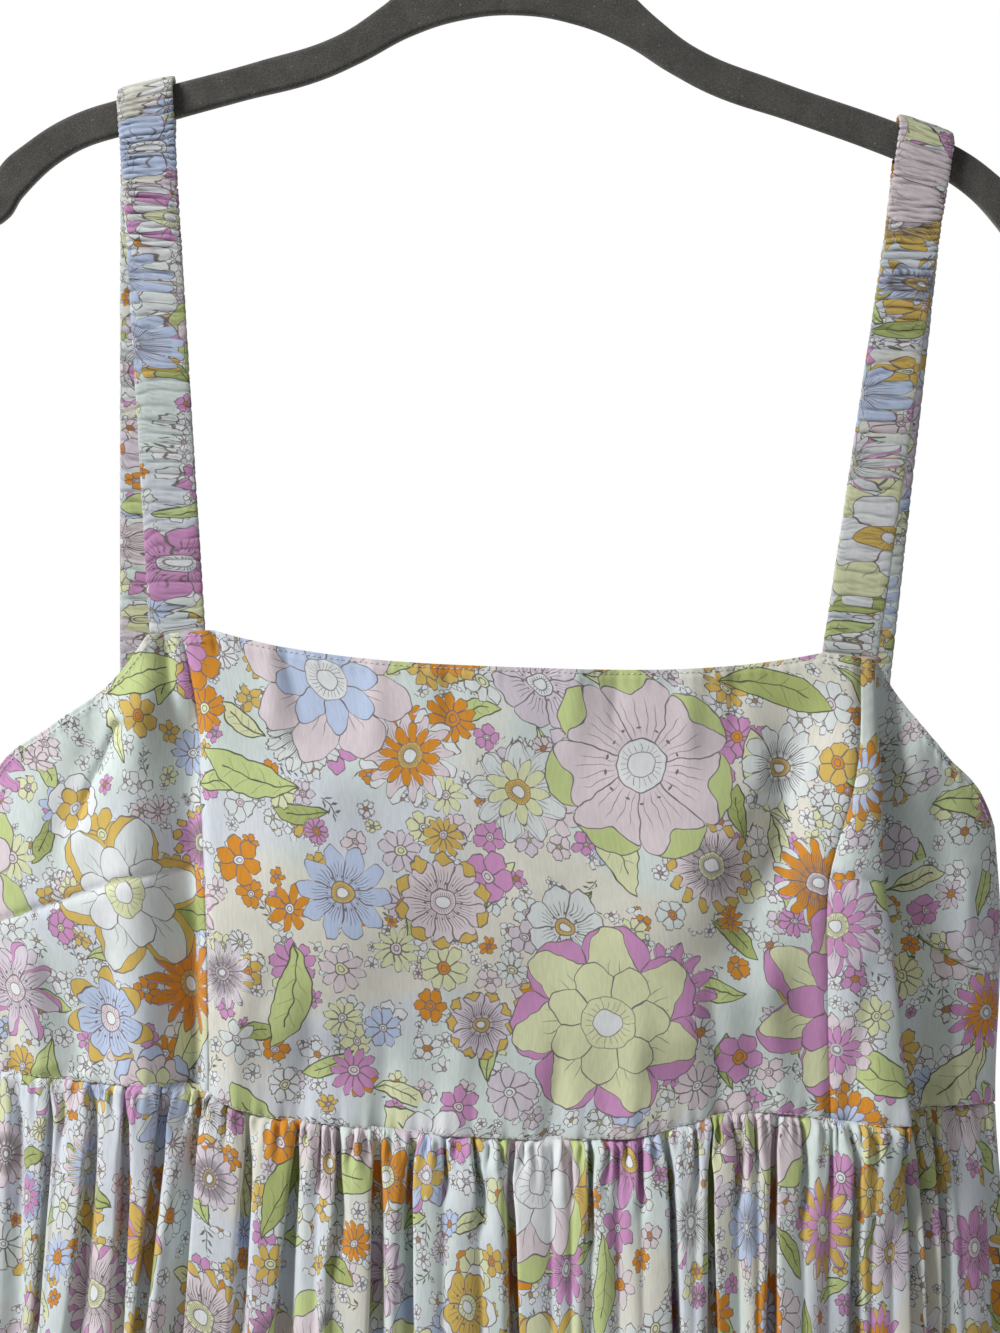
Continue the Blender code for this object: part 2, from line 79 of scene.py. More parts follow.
# The dress's own measures, as the model has them
GAP = 0.3
ARCH_Z = -105.0
Section = namedtuple("Section", "drop left right front back")
SECTIONS = (
    Section(drop=255, left=-213, right=212, front=13, back=14),
    Section(drop=320, left=-215, right=214, front=27, back=22),
    Section(drop=370, left=-217, right=219, front=35, back=25),
    Section(drop=455, left=-214, right=220, front=33, back=27),
    Section(drop=520, left=-219, right=226, front=45, back=36),
    Section(drop=650, left=-236, right=246, front=55, back=47),
    Section(drop=850, left=-265, right=279, front=63, back=56),
    Section(drop=1100, left=-299, right=314, front=74, back=67),
    Section(drop=1385, left=-329, right=347, front=86, back=80),
)
Seam = namedtuple("Seam", "drop left right")
SEAMS = (
    Seam(drop=262, left=-133, right=153),
    Seam(drop=290, left=-126, right=152),
    Seam(drop=320, left=-123, right=149),
    Seam(drop=355, left=-119, right=141),
    Seam(drop=400, left=-115, right=142),
    Seam(drop=455, left=-113, right=146),
)
NECK_MIDDLE = 10
NECK_HALF = 129
NECK_DROP = 273.5
NECK_RISE = 11
STRAP_WIDTH = 24.5
SEAT_FALL = 3
UNDERARM_DROP = 335
ARMHOLE_ACROSS = (0, 0.17, 0.56, 0.92, 1)
ARMHOLE_DOWN_LEFT = (0, 0.24, 0.56, 0.86, 1)
ARMHOLE_DOWN_RIGHT = (0, 0.2, 0.55, 0.86, 1)
BACK_TOP_DROP = 324
WAIST_DROP = 451
WAIST_ACROSS = (
    -214, -160, -132, -119, -101, -84, -61, -6, 40, 71, 83, 96, 122, 144, 170, 184, 206, 220,
)
WAIST_DIPS = (
    0, 2, 1.6, 2.5, 9, 12.8, 14.2, 16.7, 16.2, 13.7, 10, 6.5, 3.7, 6.2, 6.7, 3.5, 0.4, 0,
)
HEM_DROP = 1385
SKIRT_LENGTH = HEM_DROP - WAIST_DROP

Strap = namedtuple("Strap", "name side top front_end back_end")
STRAPS = (
    Strap(name="strap_left", side=-1, top=165, front_end=142, back_end=157),
    Strap(name="strap_right", side=1, top=167, front_end=141, back_end=147),
)
DRESS_MIDDLE = 8
STRAP_HALF_THICKNESS = 1.5
STRAP_ROOM = 0.75
STRAP_BAR_GAP = 0.8
STRAP_TILT = 0.85
CREASE_TAKES = 1.25
# Painted shade that darkens the straps' colour all over; their creases get more on top
STRAP_PAINTED_SHADE = 0.44
STRAP_SQUARE_ACROSS = 0.5
STRAP_SQUARE_UP = 0.6
STRAP_FLAT_ROUND = 2.1
STRAP_SEWN_IN = 4.0
STRAP_BEHIND = 1.4
STRAP_RUN_ROWS = 400
STRAP_TURN_ROWS = 46
STRAP_AROUND = 44
STRAP_TIGHT_TO = 40
STRAP_LOOSENS_OVER = 75
STRAP_FLATTENED = Ramp(start=0.75, gain=0.25, drop=12, over=30)
RUCHE_SPACING = 5.0
RUCHE_CLOSER = 2.3

Point = namedtuple("Point", "across drop")
BAR_OUTER = (
    Point(0, -34), Point(26, -30), Point(44, -18), Point(59, -5), Point(77, 7.5),
    Point(110, 19.5), Point(163, 36), Point(190, 46), Point(209, 59), Point(217.5, 67),
    Point(222, 77),
)
BAR_TIP = (Point(223, 86), Point(220, 92.5), Point(214.5, 90))
BAR_INNER = (
    Point(208, 80), Point(188, 61.5), Point(163, 51.5), Point(117, 36.5), Point(85, 27),
    Point(66, 18), Point(45, 6), Point(24, -1.5), Point(0, -4.5),
)
BAR_THICKNESS = 5.6
BAR_ROUNDING = 1.9
HOOK_FROM, HOOK_TO, HOOK_POINTS = 205, -48, 64
SHANK_FALL = 19.2
SHANK_POINTS = 18

# Large folds of the bodice, as the model has them: a line with a soft flank on each side
Fold = namedtuple("Fold", "top bottom x_top x_bottom left_flank right_flank push")
FOLD_FADE = 26
FRONT_FOLDS = (
    Fold(top=300, bottom=453, x_top=-153, x_bottom=-140, left_flank=15, right_flank=12, push=7),
    Fold(top=310, bottom=453, x_top=-127, x_bottom=-121, left_flank=9, right_flank=5, push=-7),
    Fold(top=300, bottom=352, x_top=-164, x_bottom=-179, left_flank=8, right_flank=8, push=-4),
    Fold(top=296, bottom=385, x_top=130, x_bottom=104, left_flank=17, right_flank=12, push=-5),
    Fold(top=330, bottom=420, x_top=-78, x_bottom=-78, left_flank=38, right_flank=38, push=5),
    Fold(top=330, bottom=420, x_top=85, x_bottom=85, left_flank=36, right_flank=32, push=5),
)
BACK_FOLDS = (
    Fold(top=350, bottom=455, x_top=-135, x_bottom=-125, left_flank=20, right_flank=9, push=4),
    Fold(top=350, bottom=455, x_top=-33, x_bottom=-25, left_flank=24, right_flank=18, push=-3),
    Fold(top=350, bottom=455, x_top=61, x_bottom=55, left_flank=14, right_flank=22, push=4),
    Fold(top=350, bottom=455, x_top=157, x_bottom=167, left_flank=10, right_flank=18, push=-4),
)

# The deep fold from the right strap to the waist: its crest leans over the shadow beside it
DEEP_FOLD_DROPS = (262, 307, 349, 391, 458)
DEEP_FOLD_X = (157, 155.8, 157, 163, 171.5)
DEEP_FOLD_HEIGHT = 11.5
DEEP_FOLD_LEFT = 22
DEEP_FOLD_RIGHT = 2.8
DEEP_FOLD_DIP = 12.0
DEEP_FOLD_RETURN = 2.3
DEEP_FOLD_LEAN = 5.2
DEEP_FOLD_INTAKE = 15
DEEP_FOLD_SIZE = Ramp(start=0.34, gain=0.66, drop=258, over=62)
DEEP_FOLD_DIP_WIDTH = Ramp(start=5.0, gain=5.5, drop=280, over=150)
DEEP_FOLD_AT_WAIST = Ramp(start=1, gain=-0.45, drop=440, over=14)

# Creases: each a line with its own width either side, height and sharpness, and
# the share of its length over which it fades at its start and end
Crease = namedtuple("Crease", "x drop x_end drop_end left right height sharp fade fade_end")
FRONT_CREASES = (
    Crease(-157.6, 300, -174, 357, 2.2, 6.0, -3.4, 1.2, 0.05, 0.45),
    Crease(-162, 318, -180, 372, 9, 9, 2.2, 2, 0.2, 0.4),
    Crease(-148, 262, -147, 330, 7, 7, 2.0, 2, 0.0, 0.5),
    Crease(-137, 262, -133, 318, 3.0, 3.0, -1.6, 1.6, 0.0, 0.6),
    Crease(-118.6, 262, -116.5, 276, 1.2, 1.6, -1.3, 1.2, 0.0, 0.5),
    Crease(-128, 372, -121, 452, 6, 5, -2.4, 1.5, 0.2, 0.0),
    Crease(-196, 392, -178, 452, 10, 6, 2.2, 2, 0.3, 0.1),
    Crease(-186, 398, -168, 452, 4, 4, -1.4, 1.7, 0.3, 0.1),
    Crease(-205, 404, -199, 454, 4, 5, -1.5, 1.6, 0.3, 0.0),
    Crease(-160, 372, -156, 440, 6, 5, -1.2, 1.8, 0.3, 0.3),
    Crease(128, 290, 106, 380, 9, 12, -2.4, 2, 0.25, 0.3),
    Crease(117, 296, 99, 356, 8, 8, 1.5, 2, 0.3, 0.4),
    Crease(132, 300, 136, 352, 5, 5, 1.2, 2, 0.3, 0.4),
    Crease(158, 268, 157, 320, 4, 4, -1.0, 1.7, 0.0, 0.6),
    Crease(176, 292, 182, 372, 5, 7, 2.0, 2, 0.2, 0.3),
    Crease(188, 312, 196, 380, 5, 6, -1.6, 1.8, 0.2, 0.4),
    Crease(199, 345, 204, 392, 4, 5, 1.2, 2, 0.3, 0.3),
    Crease(190, 398, 188, 455, 6, 6, -1.7, 1.7, 0.3, 0.0),
    Crease(203, 405, 201, 455, 5, 5, 1.5, 2, 0.3, 0.0),
    Crease(155, 378, 156, 455, 6, 6, -1.8, 1.7, 0.3, 0.0),
    Crease(-96, 276, -88, 316, 5, 6, 1.0, 2, 0.0, 0.6),
    Crease(-86, 276, -80, 306, 3, 4, -0.8, 1.7, 0.0, 0.6),
    Crease(-52, 278, -47, 322, 6, 6, 0.9, 2, 0.0, 0.7),
    Crease(-19, 278, -15, 312, 4, 5, -0.7, 2, 0.0, 0.7),
    Crease(34, 278, 30, 326, 6, 7, 1.0, 2, 0.0, 0.7),
    Crease(52, 278, 49, 306, 3, 4, -0.7, 1.7, 0.0, 0.6),
    Crease(84, 277, 76, 330, 6, 6, 1.1, 2, 0.0, 0.6),
    Crease(103, 274, 97, 312, 4, 4, -0.9, 1.7, 0.0, 0.6),
    Crease(-72, 400, -76, 462, 6, 6, -1.6, 1.7, 0.5, 0.0),
    Crease(-41, 418, -42, 468, 5, 5, -1.2, 1.7, 0.5, 0.0),
    Crease(-8, 408, -10, 470, 7, 7, 1.1, 2, 0.5, 0.0),
    Crease(29, 416, 31, 472, 5, 5, -1.3, 1.7, 0.5, 0.0),
    Crease(61, 400, 65, 468, 7, 6, 1.3, 2, 0.5, 0.0),
    Crease(95, 392, 101, 462, 5, 5, -1.9, 1.6, 0.4, 0.0),
    Crease(120, 382, 125, 456, 7, 7, 1.6, 2, 0.3, 0.0),
    Crease(-95, 384, -101, 456, 6, 7, 1.7, 2, 0.3, 0.0),
)
CREASE_SIZE = 1.5
BACK_CREASES = (
    Crease(-176, 330, -166, 400, 6, 8, 1.8, 2, 0.0, 0.5),
    Crease(-98, 326, -92, 388, 4, 5, -1.3, 1.6, 0.0, 0.6),
    Crease(-61, 326, -66, 372, 7, 7, 1.3, 2, 0.0, 0.6),
    Crease(12, 326, 16, 376, 6, 6, 1.2, 2, 0.0, 0.6),
    Crease(33, 326, 30, 364, 3, 4, -1.0, 1.6, 0.0, 0.6),
    Crease(96, 326, 90, 392, 6, 7, 1.4, 2, 0.0, 0.6),
    Crease(141, 328, 149, 386, 4, 5, -1.2, 1.6, 0.0, 0.6),
    Crease(-162, 398, -171, 456, 5, 6, -1.8, 1.6, 0.4, 0.0),
    Crease(-84, 404, -80, 456, 6, 6, 1.6, 2, 0.4, 0.0),
    Crease(-4, 396, 2, 456, 5, 5, -1.6, 1.6, 0.4, 0.0),
    Crease(36, 410, 38, 456, 6, 6, 1.4, 2, 0.4, 0.0),
    Crease(103, 400, 99, 456, 5, 6, -1.7, 1.6, 0.4, 0.0),
    Crease(132, 408, 134, 456, 6, 6, 1.4, 2, 0.4, 0.0),
    Crease(188, 382, 180, 456, 6, 8, 1.8, 2, 0.3, 0.0),
)

# Bust darts: from the princess seam outwards to the side edge, with the print broken along them
DART_LEFT_X = (-214, -183, -156.3, -137, -119)
DART_LEFT_DROPS = (391, 379.5, 369.3, 363.6, 360)
DART_RIGHT_X = (141, 166, 192, 213)
DART_RIGHT_DROPS = (354.7, 360, 385.7, 395.5)
DART_DEPTH = 1.8
DART_WIDTH = 2.0
DART_TAKEN_UP = 9.0

# Gathers of the skirt. Each valley starts at the waist seam at x, has come to x_low at LOW_ROW
# below it, and is gone at its reach. Its edge leans over it from the left (1) or the right (-1).
Valley = namedtuple("Valley", "x x_low depth reach lean")
FRONT_VALLEYS = (
    Valley(-207, -213, 0.7, 38, 1), Valley(-196, -189.5, 1.0, 230, 1),
    Valley(-180, -182, 1.05, 270, 1), Valley(-173, -176, 0.5, 29, 0),
    Valley(-161, -165, 0.95, 170, 1), Valley(-146.8, -147, 1.2, 200, 1),
    Valley(-132, -139.9, 1.15, 300, 1), Valley(-115.3, -120.5, 1.3, 300, -1),
    Valley(-96, -95.7, 0.9, 160, 1), Valley(-75, -81.4, 1.0, 260, 1),
    Valley(-65.4, -63, 0.6, 29, 0), Valley(-58.7, -57, 0.85, 55, 1),
    Valley(-43.1, -40.5, 0.95, 150, 1), Valley(-26.3, -22.3, 1.05, 300, -1),
    Valley(-13.8, -11, 0.65, 25, 1), Valley(-1.6, 6, 0.85, 38, 1),
    Valley(14.4, 21.4, 1.3, 330, -1), Valley(30, 33, 0.4, 19, 0),
    Valley(37.9, 41, 0.6, 25, 0), Valley(45.9, 48, 0.85, 46, 0),
    Valley(57, 60, 0.4, 18, 0), Valley(66.4, 70, 0.55, 29, 0),
    Valley(76.1, 83.1, 1.25, 330, 1), Valley(89.9, 90, 0.6, 29, 0),
    Valley(96.5, 100.7, 1.1, 290, -1), Valley(105, 110, 0.8, 38, 1),
    Valley(114.3, 116.5, 0.5, 25, 0), Valley(123.5, 123.4, 1.1, 270, -1),
    Valley(132.7, 136, 0.8, 42, 1), Valley(145.8, 145, 0.6, 34, 0),
    Valley(153.3, 155.3, 1.05, 250, 1), Valley(162.5, 164, 0.5, 19, 0),
    Valley(169.5, 173, 0.65, 29, 0), Valley(176.5, 180.5, 0.95, 230, 1),
    Valley(183.1, 188, 1.0, 240, 1), Valley(190, 196, 1.45, 320, 1),
    Valley(199, 205, 0.6, 25, 0), Valley(212.9, 223, 0.9, 200, 0),
)
BACK_VALLEYS = (
    Valley(-206, -211, 0.8, 150, 0), Valley(-193, -199, 1.0, 280, 1),
    Valley(-178, -183, 0.6, 34, 0), Valley(-165, -170, 1.2, 310, 1),
    Valley(-152, -153, 0.7, 38, 0), Valley(-141, -146, 0.9, 180, 1),
    Valley(-124, -131, 1.15, 320, -1), Valley(-112, -114, 0.55, 25, 0),
    Valley(-101, -104, 0.9, 140, 1), Valley(-85, -90, 1.2, 300, 1),
    Valley(-73, -74, 0.6, 34, 0), Valley(-61, -66, 0.85, 210, -1),
    Valley(-44, -47, 1.0, 270, 1), Valley(-33, -33, 0.5, 21, 0),
    Valley(-22, -22, 0.8, 50, 1), Valley(-5, -8, 1.25, 320, 1),
    Valley(9, 10, 0.6, 29, 0), Valley(21, 23, 0.95, 200, -1),
    Valley(39, 43, 1.1, 300, -1), Valley(50, 52, 0.5, 25, 0),
    Valley(61, 65, 0.85, 150, 1), Valley(79, 85, 1.2, 320, 1),
    Valley(92, 95, 0.6, 34, 0), Valley(103, 108, 0.9, 190, -1),
    Valley(119, 126, 1.1, 290, -1), Valley(131, 134, 0.6, 29, 0),
    Valley(144, 150, 1.0, 240, 1), Valley(160, 166, 0.7, 42, 0),
    Valley(172, 180, 1.2, 310, 1), Valley(186, 191, 0.6, 34, 0),
    Valley(203, 209, 0.9, 180, 0),
)
LOW_ROW = 100
LEAN_OUT = 1.9
VALLEY_HALF = 2.4
GENTLE_SIDE = 1.75
VALLEY_TAKES_UP = 7.5
VALLEY_FADES_FROM = 0.3
VALLEY_FADES_OVER = 0.9
LEAN_BEGINS = 14
FULL_BULGE_WIDTH = 0.022
PUCKERS = 81
FINE_PUCKERS = 127
CARRIED_BELOW = 55
LINE_KEPT_BELOW = 260
Sine = namedtuple("Sine", "share pace start")
BROAD_HEIGHTS = (Sine(0.3, 9, 1),)
BROAD_FOLDS = 12
MID_FOLDS = 23
BROAD_DRIFT = 0.02
BROAD_DRIFT_DROP = 260
BROAD_SHIFT = 0.25
BROAD_SHIFT_TURNS = 3
BROAD_SHIFT_START = 0.1
Drape = namedtuple("Drape", "below valley bulge pucker mid broad")
DRAPES = (
    Drape(below=0, valley=1.8, bulge=0.8, pucker=1.5, mid=0, broad=0),
    Drape(below=3, valley=3.6, bulge=1.8, pucker=1.8, mid=0, broad=0),
    Drape(below=9, valley=6.0, bulge=2.3, pucker=1.1, mid=0, broad=0),
    Drape(below=20, valley=8.6, bulge=2.3, pucker=0.3, mid=0.2, broad=0),
    Drape(below=60, valley=9.8, bulge=2.3, pucker=0.05, mid=0.8, broad=0.8),
    Drape(below=110, valley=9.8, bulge=2.0, pucker=0, mid=1.3, broad=2.4),
    Drape(below=200, valley=9.2, bulge=1.4, pucker=0, mid=2.2, broad=5.6),
    Drape(below=320, valley=7.0, bulge=0.6, pucker=0, mid=2.8, broad=9.0),
    Drape(below=600, valley=0, bulge=0, pucker=0, mid=2.2, broad=11.6),
    Drape(below=934, valley=0, bulge=0, pucker=0, mid=1.8, broad=13.4),
)
SKIRT_CUT_WIDTH = 950
SKIRT_COLUMNS = 640
HEM_TURNED = 20
DRAPE_LEFT, DRAPE_RIGHT = -214, 220
STEEPEST = 0.2

CLOTH_INSET = 0.35
EDGE_FOLDED = 0.35
EDGE_HEM = 4.5
WAVINESS = 0.65
STITCH_RAISED = 0.3
STITCH_DENT = 0.65
STITCH_DENT_HALF = 0.65
STITCH_DIVES = -0.35
STITCH_STANDS = 0.28
STITCH_THIN = 0.5
STITCH_FULL = 0.95
STITCH_FLAT = 0.7
STITCH_SIDES = 6
SEAM_ROLL = 2.2
SEAM_TURN_IN = 1.6
WAIST_TURN_IN = 0.6
SKIRT_TUCK = 1.5
SKIRT_TUCKED = 1.2
SKIRT_OPENS = Ramp(start=0.1, gain=0.9, drop=-0.6, over=2.4)
SKIRT_UNTUCKS = Ramp(start=1, gain=-1, drop=-0.5, over=2.2)

# How far below its edge each stitch row runs. The waist's rows lie just above their seam.
NECK_ROW = 1.5
ARMHOLE_ROW = 2.2
STRAP_SEAT_ROWS = (1.6, 4.4)
WAIST_ROW_FRONT = -0.6
WAIST_ROW_BACK = -0.7
BACK_EDGE_ROW = 2.0


def through(x, knots, values):
    """Smooth curve through a few values, each slope taken from the neighbours."""
    knots = np.asarray(knots, float)
    values = np.asarray(values, float)
    slopes = np.gradient(values, knots)
    x = np.clip(np.asarray(x, float), knots[0], knots[-1])
    i = np.clip(np.searchsorted(knots, x) - 1, 0, len(knots) - 2)
    span = knots[i + 1] - knots[i]
    t = (x - knots[i]) / span
    start = values[i] * (1 + 2 * t) * (1 - t) ** 2 + slopes[i] * span * t * (1 - t) ** 2
    end = values[i + 1] * t * t * (3 - 2 * t) - slopes[i + 1] * span * t * t * (1 - t)
    return start + end


def read_table(rows, drop, name, by="drop"):
    return through(drop, [getattr(r, by) for r in rows], [getattr(r, name) for r in rows])


def ease(t):
    t = np.clip(t, 0, 1)
    return t * t * (3 - 2 * t)


def ramp(drop, given):
    """A share or width at a drop: its start, with its gain eased in over a length."""
    return given.start + given.gain * ease((drop - given.drop) / given.over)


def uneven(number, sines):
    return 1 + sum(s.share * np.sin(s.pace * number + s.start) for s in sines)


def fold_push(x, drop, folds):
    """How far the large folds move the cloth outwards, in millimetres."""
    total = np.zeros_like(x * drop)
    for fold in folds:
        t = np.clip((drop - fold.top) / (fold.bottom - fold.top), 0, 1)
        line = fold.x_top + (fold.x_bottom - fold.x_top) * t
        flank = np.where(x < line, fold.left_flank, fold.right_flank)
        across = np.exp(-(((x - line) / flank) ** 2))
        begun = ease((drop - fold.top) / FOLD_FADE + 1)
        ended = 1 - ease((drop - fold.bottom) / FOLD_FADE)
        total = total + fold.push * across * begun * ended
    return total


def crease_push(x, drop, creases):
    """How far the listed creases move the cloth outwards, in millimetres."""
    total = np.zeros_like(x * drop)
    for c in creases:
        run_x, run_drop = c.x_end - c.x, c.drop_end - c.drop
        length = math.hypot(run_x, run_drop)
        along = ((x - c.x) * run_x + (drop - c.drop) * run_drop) / length**2
        off = ((x - c.x) * run_drop - (drop - c.drop) * run_x) / length
        off = off + 0.04 * length * np.sin(3.1 * along + c.x)
        width = np.where(off < 0, c.left, c.right)
        begun = ease(along / c.fade) if c.fade else along > -0.3
        ended = ease((1 - along) / c.fade_end) if c.fade_end else along < 1.3
        total = total + c.height * np.exp(-(np.abs(off / width) ** c.sharp)) * begun * ended
    return total


def deep_fold(x, drop):
    """Push outwards, sideways lean and cloth taken in by the deep fold, in millimetres."""
    off = x - through(drop, DEEP_FOLD_DROPS, DEEP_FOLD_X)
    size = ramp(drop, DEEP_FOLD_SIZE)
    left = np.exp(-((off / DEEP_FOLD_LEFT) ** 2))
    right = np.exp(-((off / DEEP_FOLD_RIGHT) ** 2))
    crest = DEEP_FOLD_HEIGHT * np.where(off < 0, left, right)
    wide = ramp(drop, DEEP_FOLD_DIP_WIDTH)
    past = off - 1 - wide
    dip = DEEP_FOLD_DIP * np.exp(-((past / np.where(past > 0, DEEP_FOLD_RETURN * wide, wide)) ** 2))
    dip = dip * ramp(drop, DEEP_FOLD_AT_WAIST)
    lean = DEEP_FOLD_LEAN * np.exp(-(((off - 0.5) / 4) ** 2))
    taken = DEEP_FOLD_INTAKE * ease((off + 1) / 6)
    return (crest - dip) * size, lean * size, taken * size


def soft_unevenness(x, drop, amount):
    """The slight waviness of cloth that has hung for a while."""
    return amount * (
        np.sin(x / 23 + drop / 41 + 1)
        + 0.7 * np.sin(x / 14 - drop / 19)
        + 0.5 * np.sin(x / 9.1 + drop / 12.7 + 2)
        + 0.35 * np.sin(x / 5.3 - drop / 8.3 + 4)
    )


def body_round(x, drop, side):
    """Middle, half width and depth of the dress's round, and the outward direction at x."""
    left = read_table(SECTIONS, drop, "left")
    right = read_table(SECTIONS, drop, "right")
    depth = read_table(SECTIONS, drop, "front" if side == FRONT else "back")
    middle, half = (left + right) / 2, (right - left) / 2
    u = np.clip((x - middle) / half, -1, 1)
    rise = np.sqrt(1 - u * u)
    nx, ny = u / half, side * rise / depth
    length = np.hypot(nx, ny)
    return middle + half * u, side * (GAP / 2 + depth * rise), nx / length, ny / length, rise


def cloth_point(x, drop, side, out, sideways=0.0):
    """Point in metres on the dress's round at x and drop, moved outwards by out millimetres."""
    on_x, on_y, nx, ny, _ = body_round(x, drop, side)
    out = out - CLOTH_INSET
    return MM * np.stack(
        [on_x + nx * out + sideways, on_y + ny * out, ARCH_Z - drop + 0 * on_x], axis=-1
    )


def strap_seat(side):
    """Inner and outer x of a strap's seat on the front's top edge."""
    strap = STRAPS[0] if side < 0 else STRAPS[1]
    middle = DRESS_MIDDLE + side * strap.front_end
    return middle - side * STRAP_WIDTH / 2, middle + side * STRAP_WIDTH / 2


def front_top(x):
    """Drop of the front's top edge at x: neckline, strap seat, then armhole."""
    x = np.asarray(x, float)
    corner = NECK_DROP - NECK_RISE
    found = NECK_DROP - NECK_RISE * np.minimum(1, np.abs(x - NECK_MIDDLE) / NECK_HALF) ** 3
    for side, downs in ((-1, ARMHOLE_DOWN_LEFT), (1, ARMHOLE_DOWN_RIGHT)):
        inner, outer = strap_seat(side)
        on_seat = corner + SEAT_FALL * np.clip((x - inner) / (outer - inner), 0, 1)
        edge = read_table(SECTIONS, UNDERARM_DROP, "left" if side < 0 else "right")
        down = through((x - outer) / (edge - outer), ARMHOLE_ACROSS, downs)
        on_armhole = corner + SEAT_FALL + (UNDERARM_DROP - corner - SEAT_FALL) * down
        found = np.where((x - inner) * side > 0, on_seat, found)
        found = np.where((x - outer) * side > 0, on_armhole, found)
    return found


def back_top(x):
    """Drop of the back's top edge, straight and a little lower at the underarms."""
    left = read_table(SECTIONS, UNDERARM_DROP, "left")
    right = read_table(SECTIONS, UNDERARM_DROP, "right")
    u = np.clip(np.abs((x - (left + right) / 2) / ((right - left) / 2)), 0, 1)
    return BACK_TOP_DROP + (UNDERARM_DROP - BACK_TOP_DROP) * u**6


def waist(x, side):
    """Drop of the waist seam, which dips across the centre front only."""
    if side == BACK:
        return WAIST_DROP + 0 * x
    return WAIST_DROP + through(x, WAIST_ACROSS, WAIST_DIPS)


def front_waist(x):
    return waist(x, FRONT)


def back_waist(x):
    return waist(x, BACK)


def panel_x(place, drop, panel):
    """The x at a place from 0 to 1 across a bodice panel."""
    left = read_table(SECTIONS, drop, "left")
    right = read_table(SECTIONS, drop, "right")
    if panel == "back":
        return (left + right) / 2 - (right - left) / 2 * np.cos(math.pi * place)
    left_seam = read_table(SEAMS, drop, "left")
    right_seam = read_table(SEAMS, drop, "right")
    if panel == "centre":
        return left_seam + (right_seam - left_seam) * place
    bend = np.sin(math.pi / 2 * place)
    if panel == "left":
        return left_seam + (left - left_seam) * bend
    return right_seam + (right - right_seam) * bend


def bodice_grid(panel, columns, rows):
    """The x and drop of every point of a bodice panel, row by row from its top edge."""
    top_edge = back_top if panel == "back" else front_top
    low_edge = back_waist if panel == "back" else front_waist
    place = np.linspace(0, 1, columns)
    top = np.full(columns, float(UNDERARM_DROP))
    low = np.full(columns, float(WAIST_DROP))
    for _ in range(8):
        top = top_edge(panel_x(place, top, panel))
        low = low_edge(panel_x(place, low, panel))
    down = np.linspace(0, 1, rows)[:, None]
    drop = top + (low - top) * down
    return panel_x(place[None, :] + 0 * drop, drop, panel), drop


def dart_drop(x):
    """Drop of the bust dart's line at x, left or right of the middle."""
    left = through(x, DART_LEFT_X, DART_LEFT_DROPS)
    right = through(x, DART_RIGHT_X, DART_RIGHT_DROPS)
    return np.where(x < 0, left, right)


def in_side_front(x, drop):
    """1 outside the princess seams and 0 between them, turning over a millimetre or two."""
    left = ease((read_table(SEAMS, drop, "left") - x) / 1.5)
    right = ease((x - read_table(SEAMS, drop, "right")) / 1.5)
    return left + right


def front_push(x, drop):
    """Outward push and sideways lean of the front bodice's cloth, in millimetres."""
    rise = body_round(x, drop, FRONT)[4]
    folds = fold_push(x, drop, FRONT_FOLDS)
    deep, lean, _ = deep_fold(x, drop)
    out = folds + deep + CREASE_SIZE * crease_push(x, drop, FRONT_CREASES)
    out = out + soft_unevenness(x, drop, WAVINESS)
    dart = drop - dart_drop(x)
    out = out - DART_DEPTH * np.exp(-np.abs(dart / DART_WIDTH) ** 1.3) * in_side_front(x, drop)
    pucker = 0.16 * np.sin(x * 1.7) * np.exp(-np.abs(dart / 4)) * in_side_front(x, drop)
    for name in ("left", "right"):
        from_seam = np.abs(x - read_table(SEAMS, drop, name))
        out = out - SEAM_TURN_IN * np.exp(-((from_seam / SEAM_ROLL) ** 1.4))
        pucker = pucker + 0.14 * np.sin(drop * 1.15 + x) * np.exp(-from_seam / 5)
    out = out + pucker + edge_detail(x, drop - front_top(x), front_waist(x) - drop)
    return out * np.clip(rise * 2.2, 0, 1), lean


def edge_detail(x, from_top, from_waist):
    """The folded edge's thickness, the dent of its stitching, and the puckers at each seam."""
    out = EDGE_FOLDED * (1 - ease((from_top - EDGE_HEM) / 1.5))
    out = out - STITCH_DENT * np.exp(-(((from_top - NECK_ROW) / STITCH_DENT_HALF) ** 2))
    ripple = np.sin(x * 1.31) + 0.6 * np.sin(x * 0.73 + 1) + 0.4 * np.sin(x * 2.1 + 2)
    out = out + 0.15 * ripple * np.exp(-(((from_top - 3) / 5) ** 2))
    tucked = np.sin(x * 0.81 + 1) + 0.7 * np.sin(x * 0.37) + 0.5 * np.sin(x * 1.37 + 2)
    out = out + 0.4 * tucked * np.exp(-from_waist / 7)
    return out - WAIST_TURN_IN * np.exp(-((from_waist / SEAM_ROLL) ** 1.4))


def back_push(x, drop):
    """Outward push of the back bodice's cloth, in millimetres."""
    rise = body_round(x, drop, BACK)[4]
    out = fold_push(x, drop, BACK_FOLDS) + CREASE_SIZE * crease_push(x, drop, BACK_CREASES)
    out = out + soft_unevenness(x + 77, drop, WAVINESS)
    out = out + edge_detail(x + 31, drop - back_top(x), back_waist(x) - drop)
    return out * np.clip(rise * 2.2, 0, 1), 0.0


def on_front(x, drop, lift=0.0):
    out, lean = front_push(x, drop)
    return cloth_point(x, drop, FRONT, out + lift, lean)


def on_back(x, drop, lift=0.0):
    out, lean = back_push(x, drop)
    return cloth_point(x, drop, BACK, out + lift, lean)


def travelled(points, axis):
    """Distance along the rows (axis 1) or down the columns (axis 0) of a grid of points."""
    step = np.linalg.norm(np.diff(points, axis=axis), axis=2)
    start = np.zeros_like(np.take(step, [0], axis=axis))
    return np.concatenate([start, np.cumsum(step, axis=axis)], axis=axis)


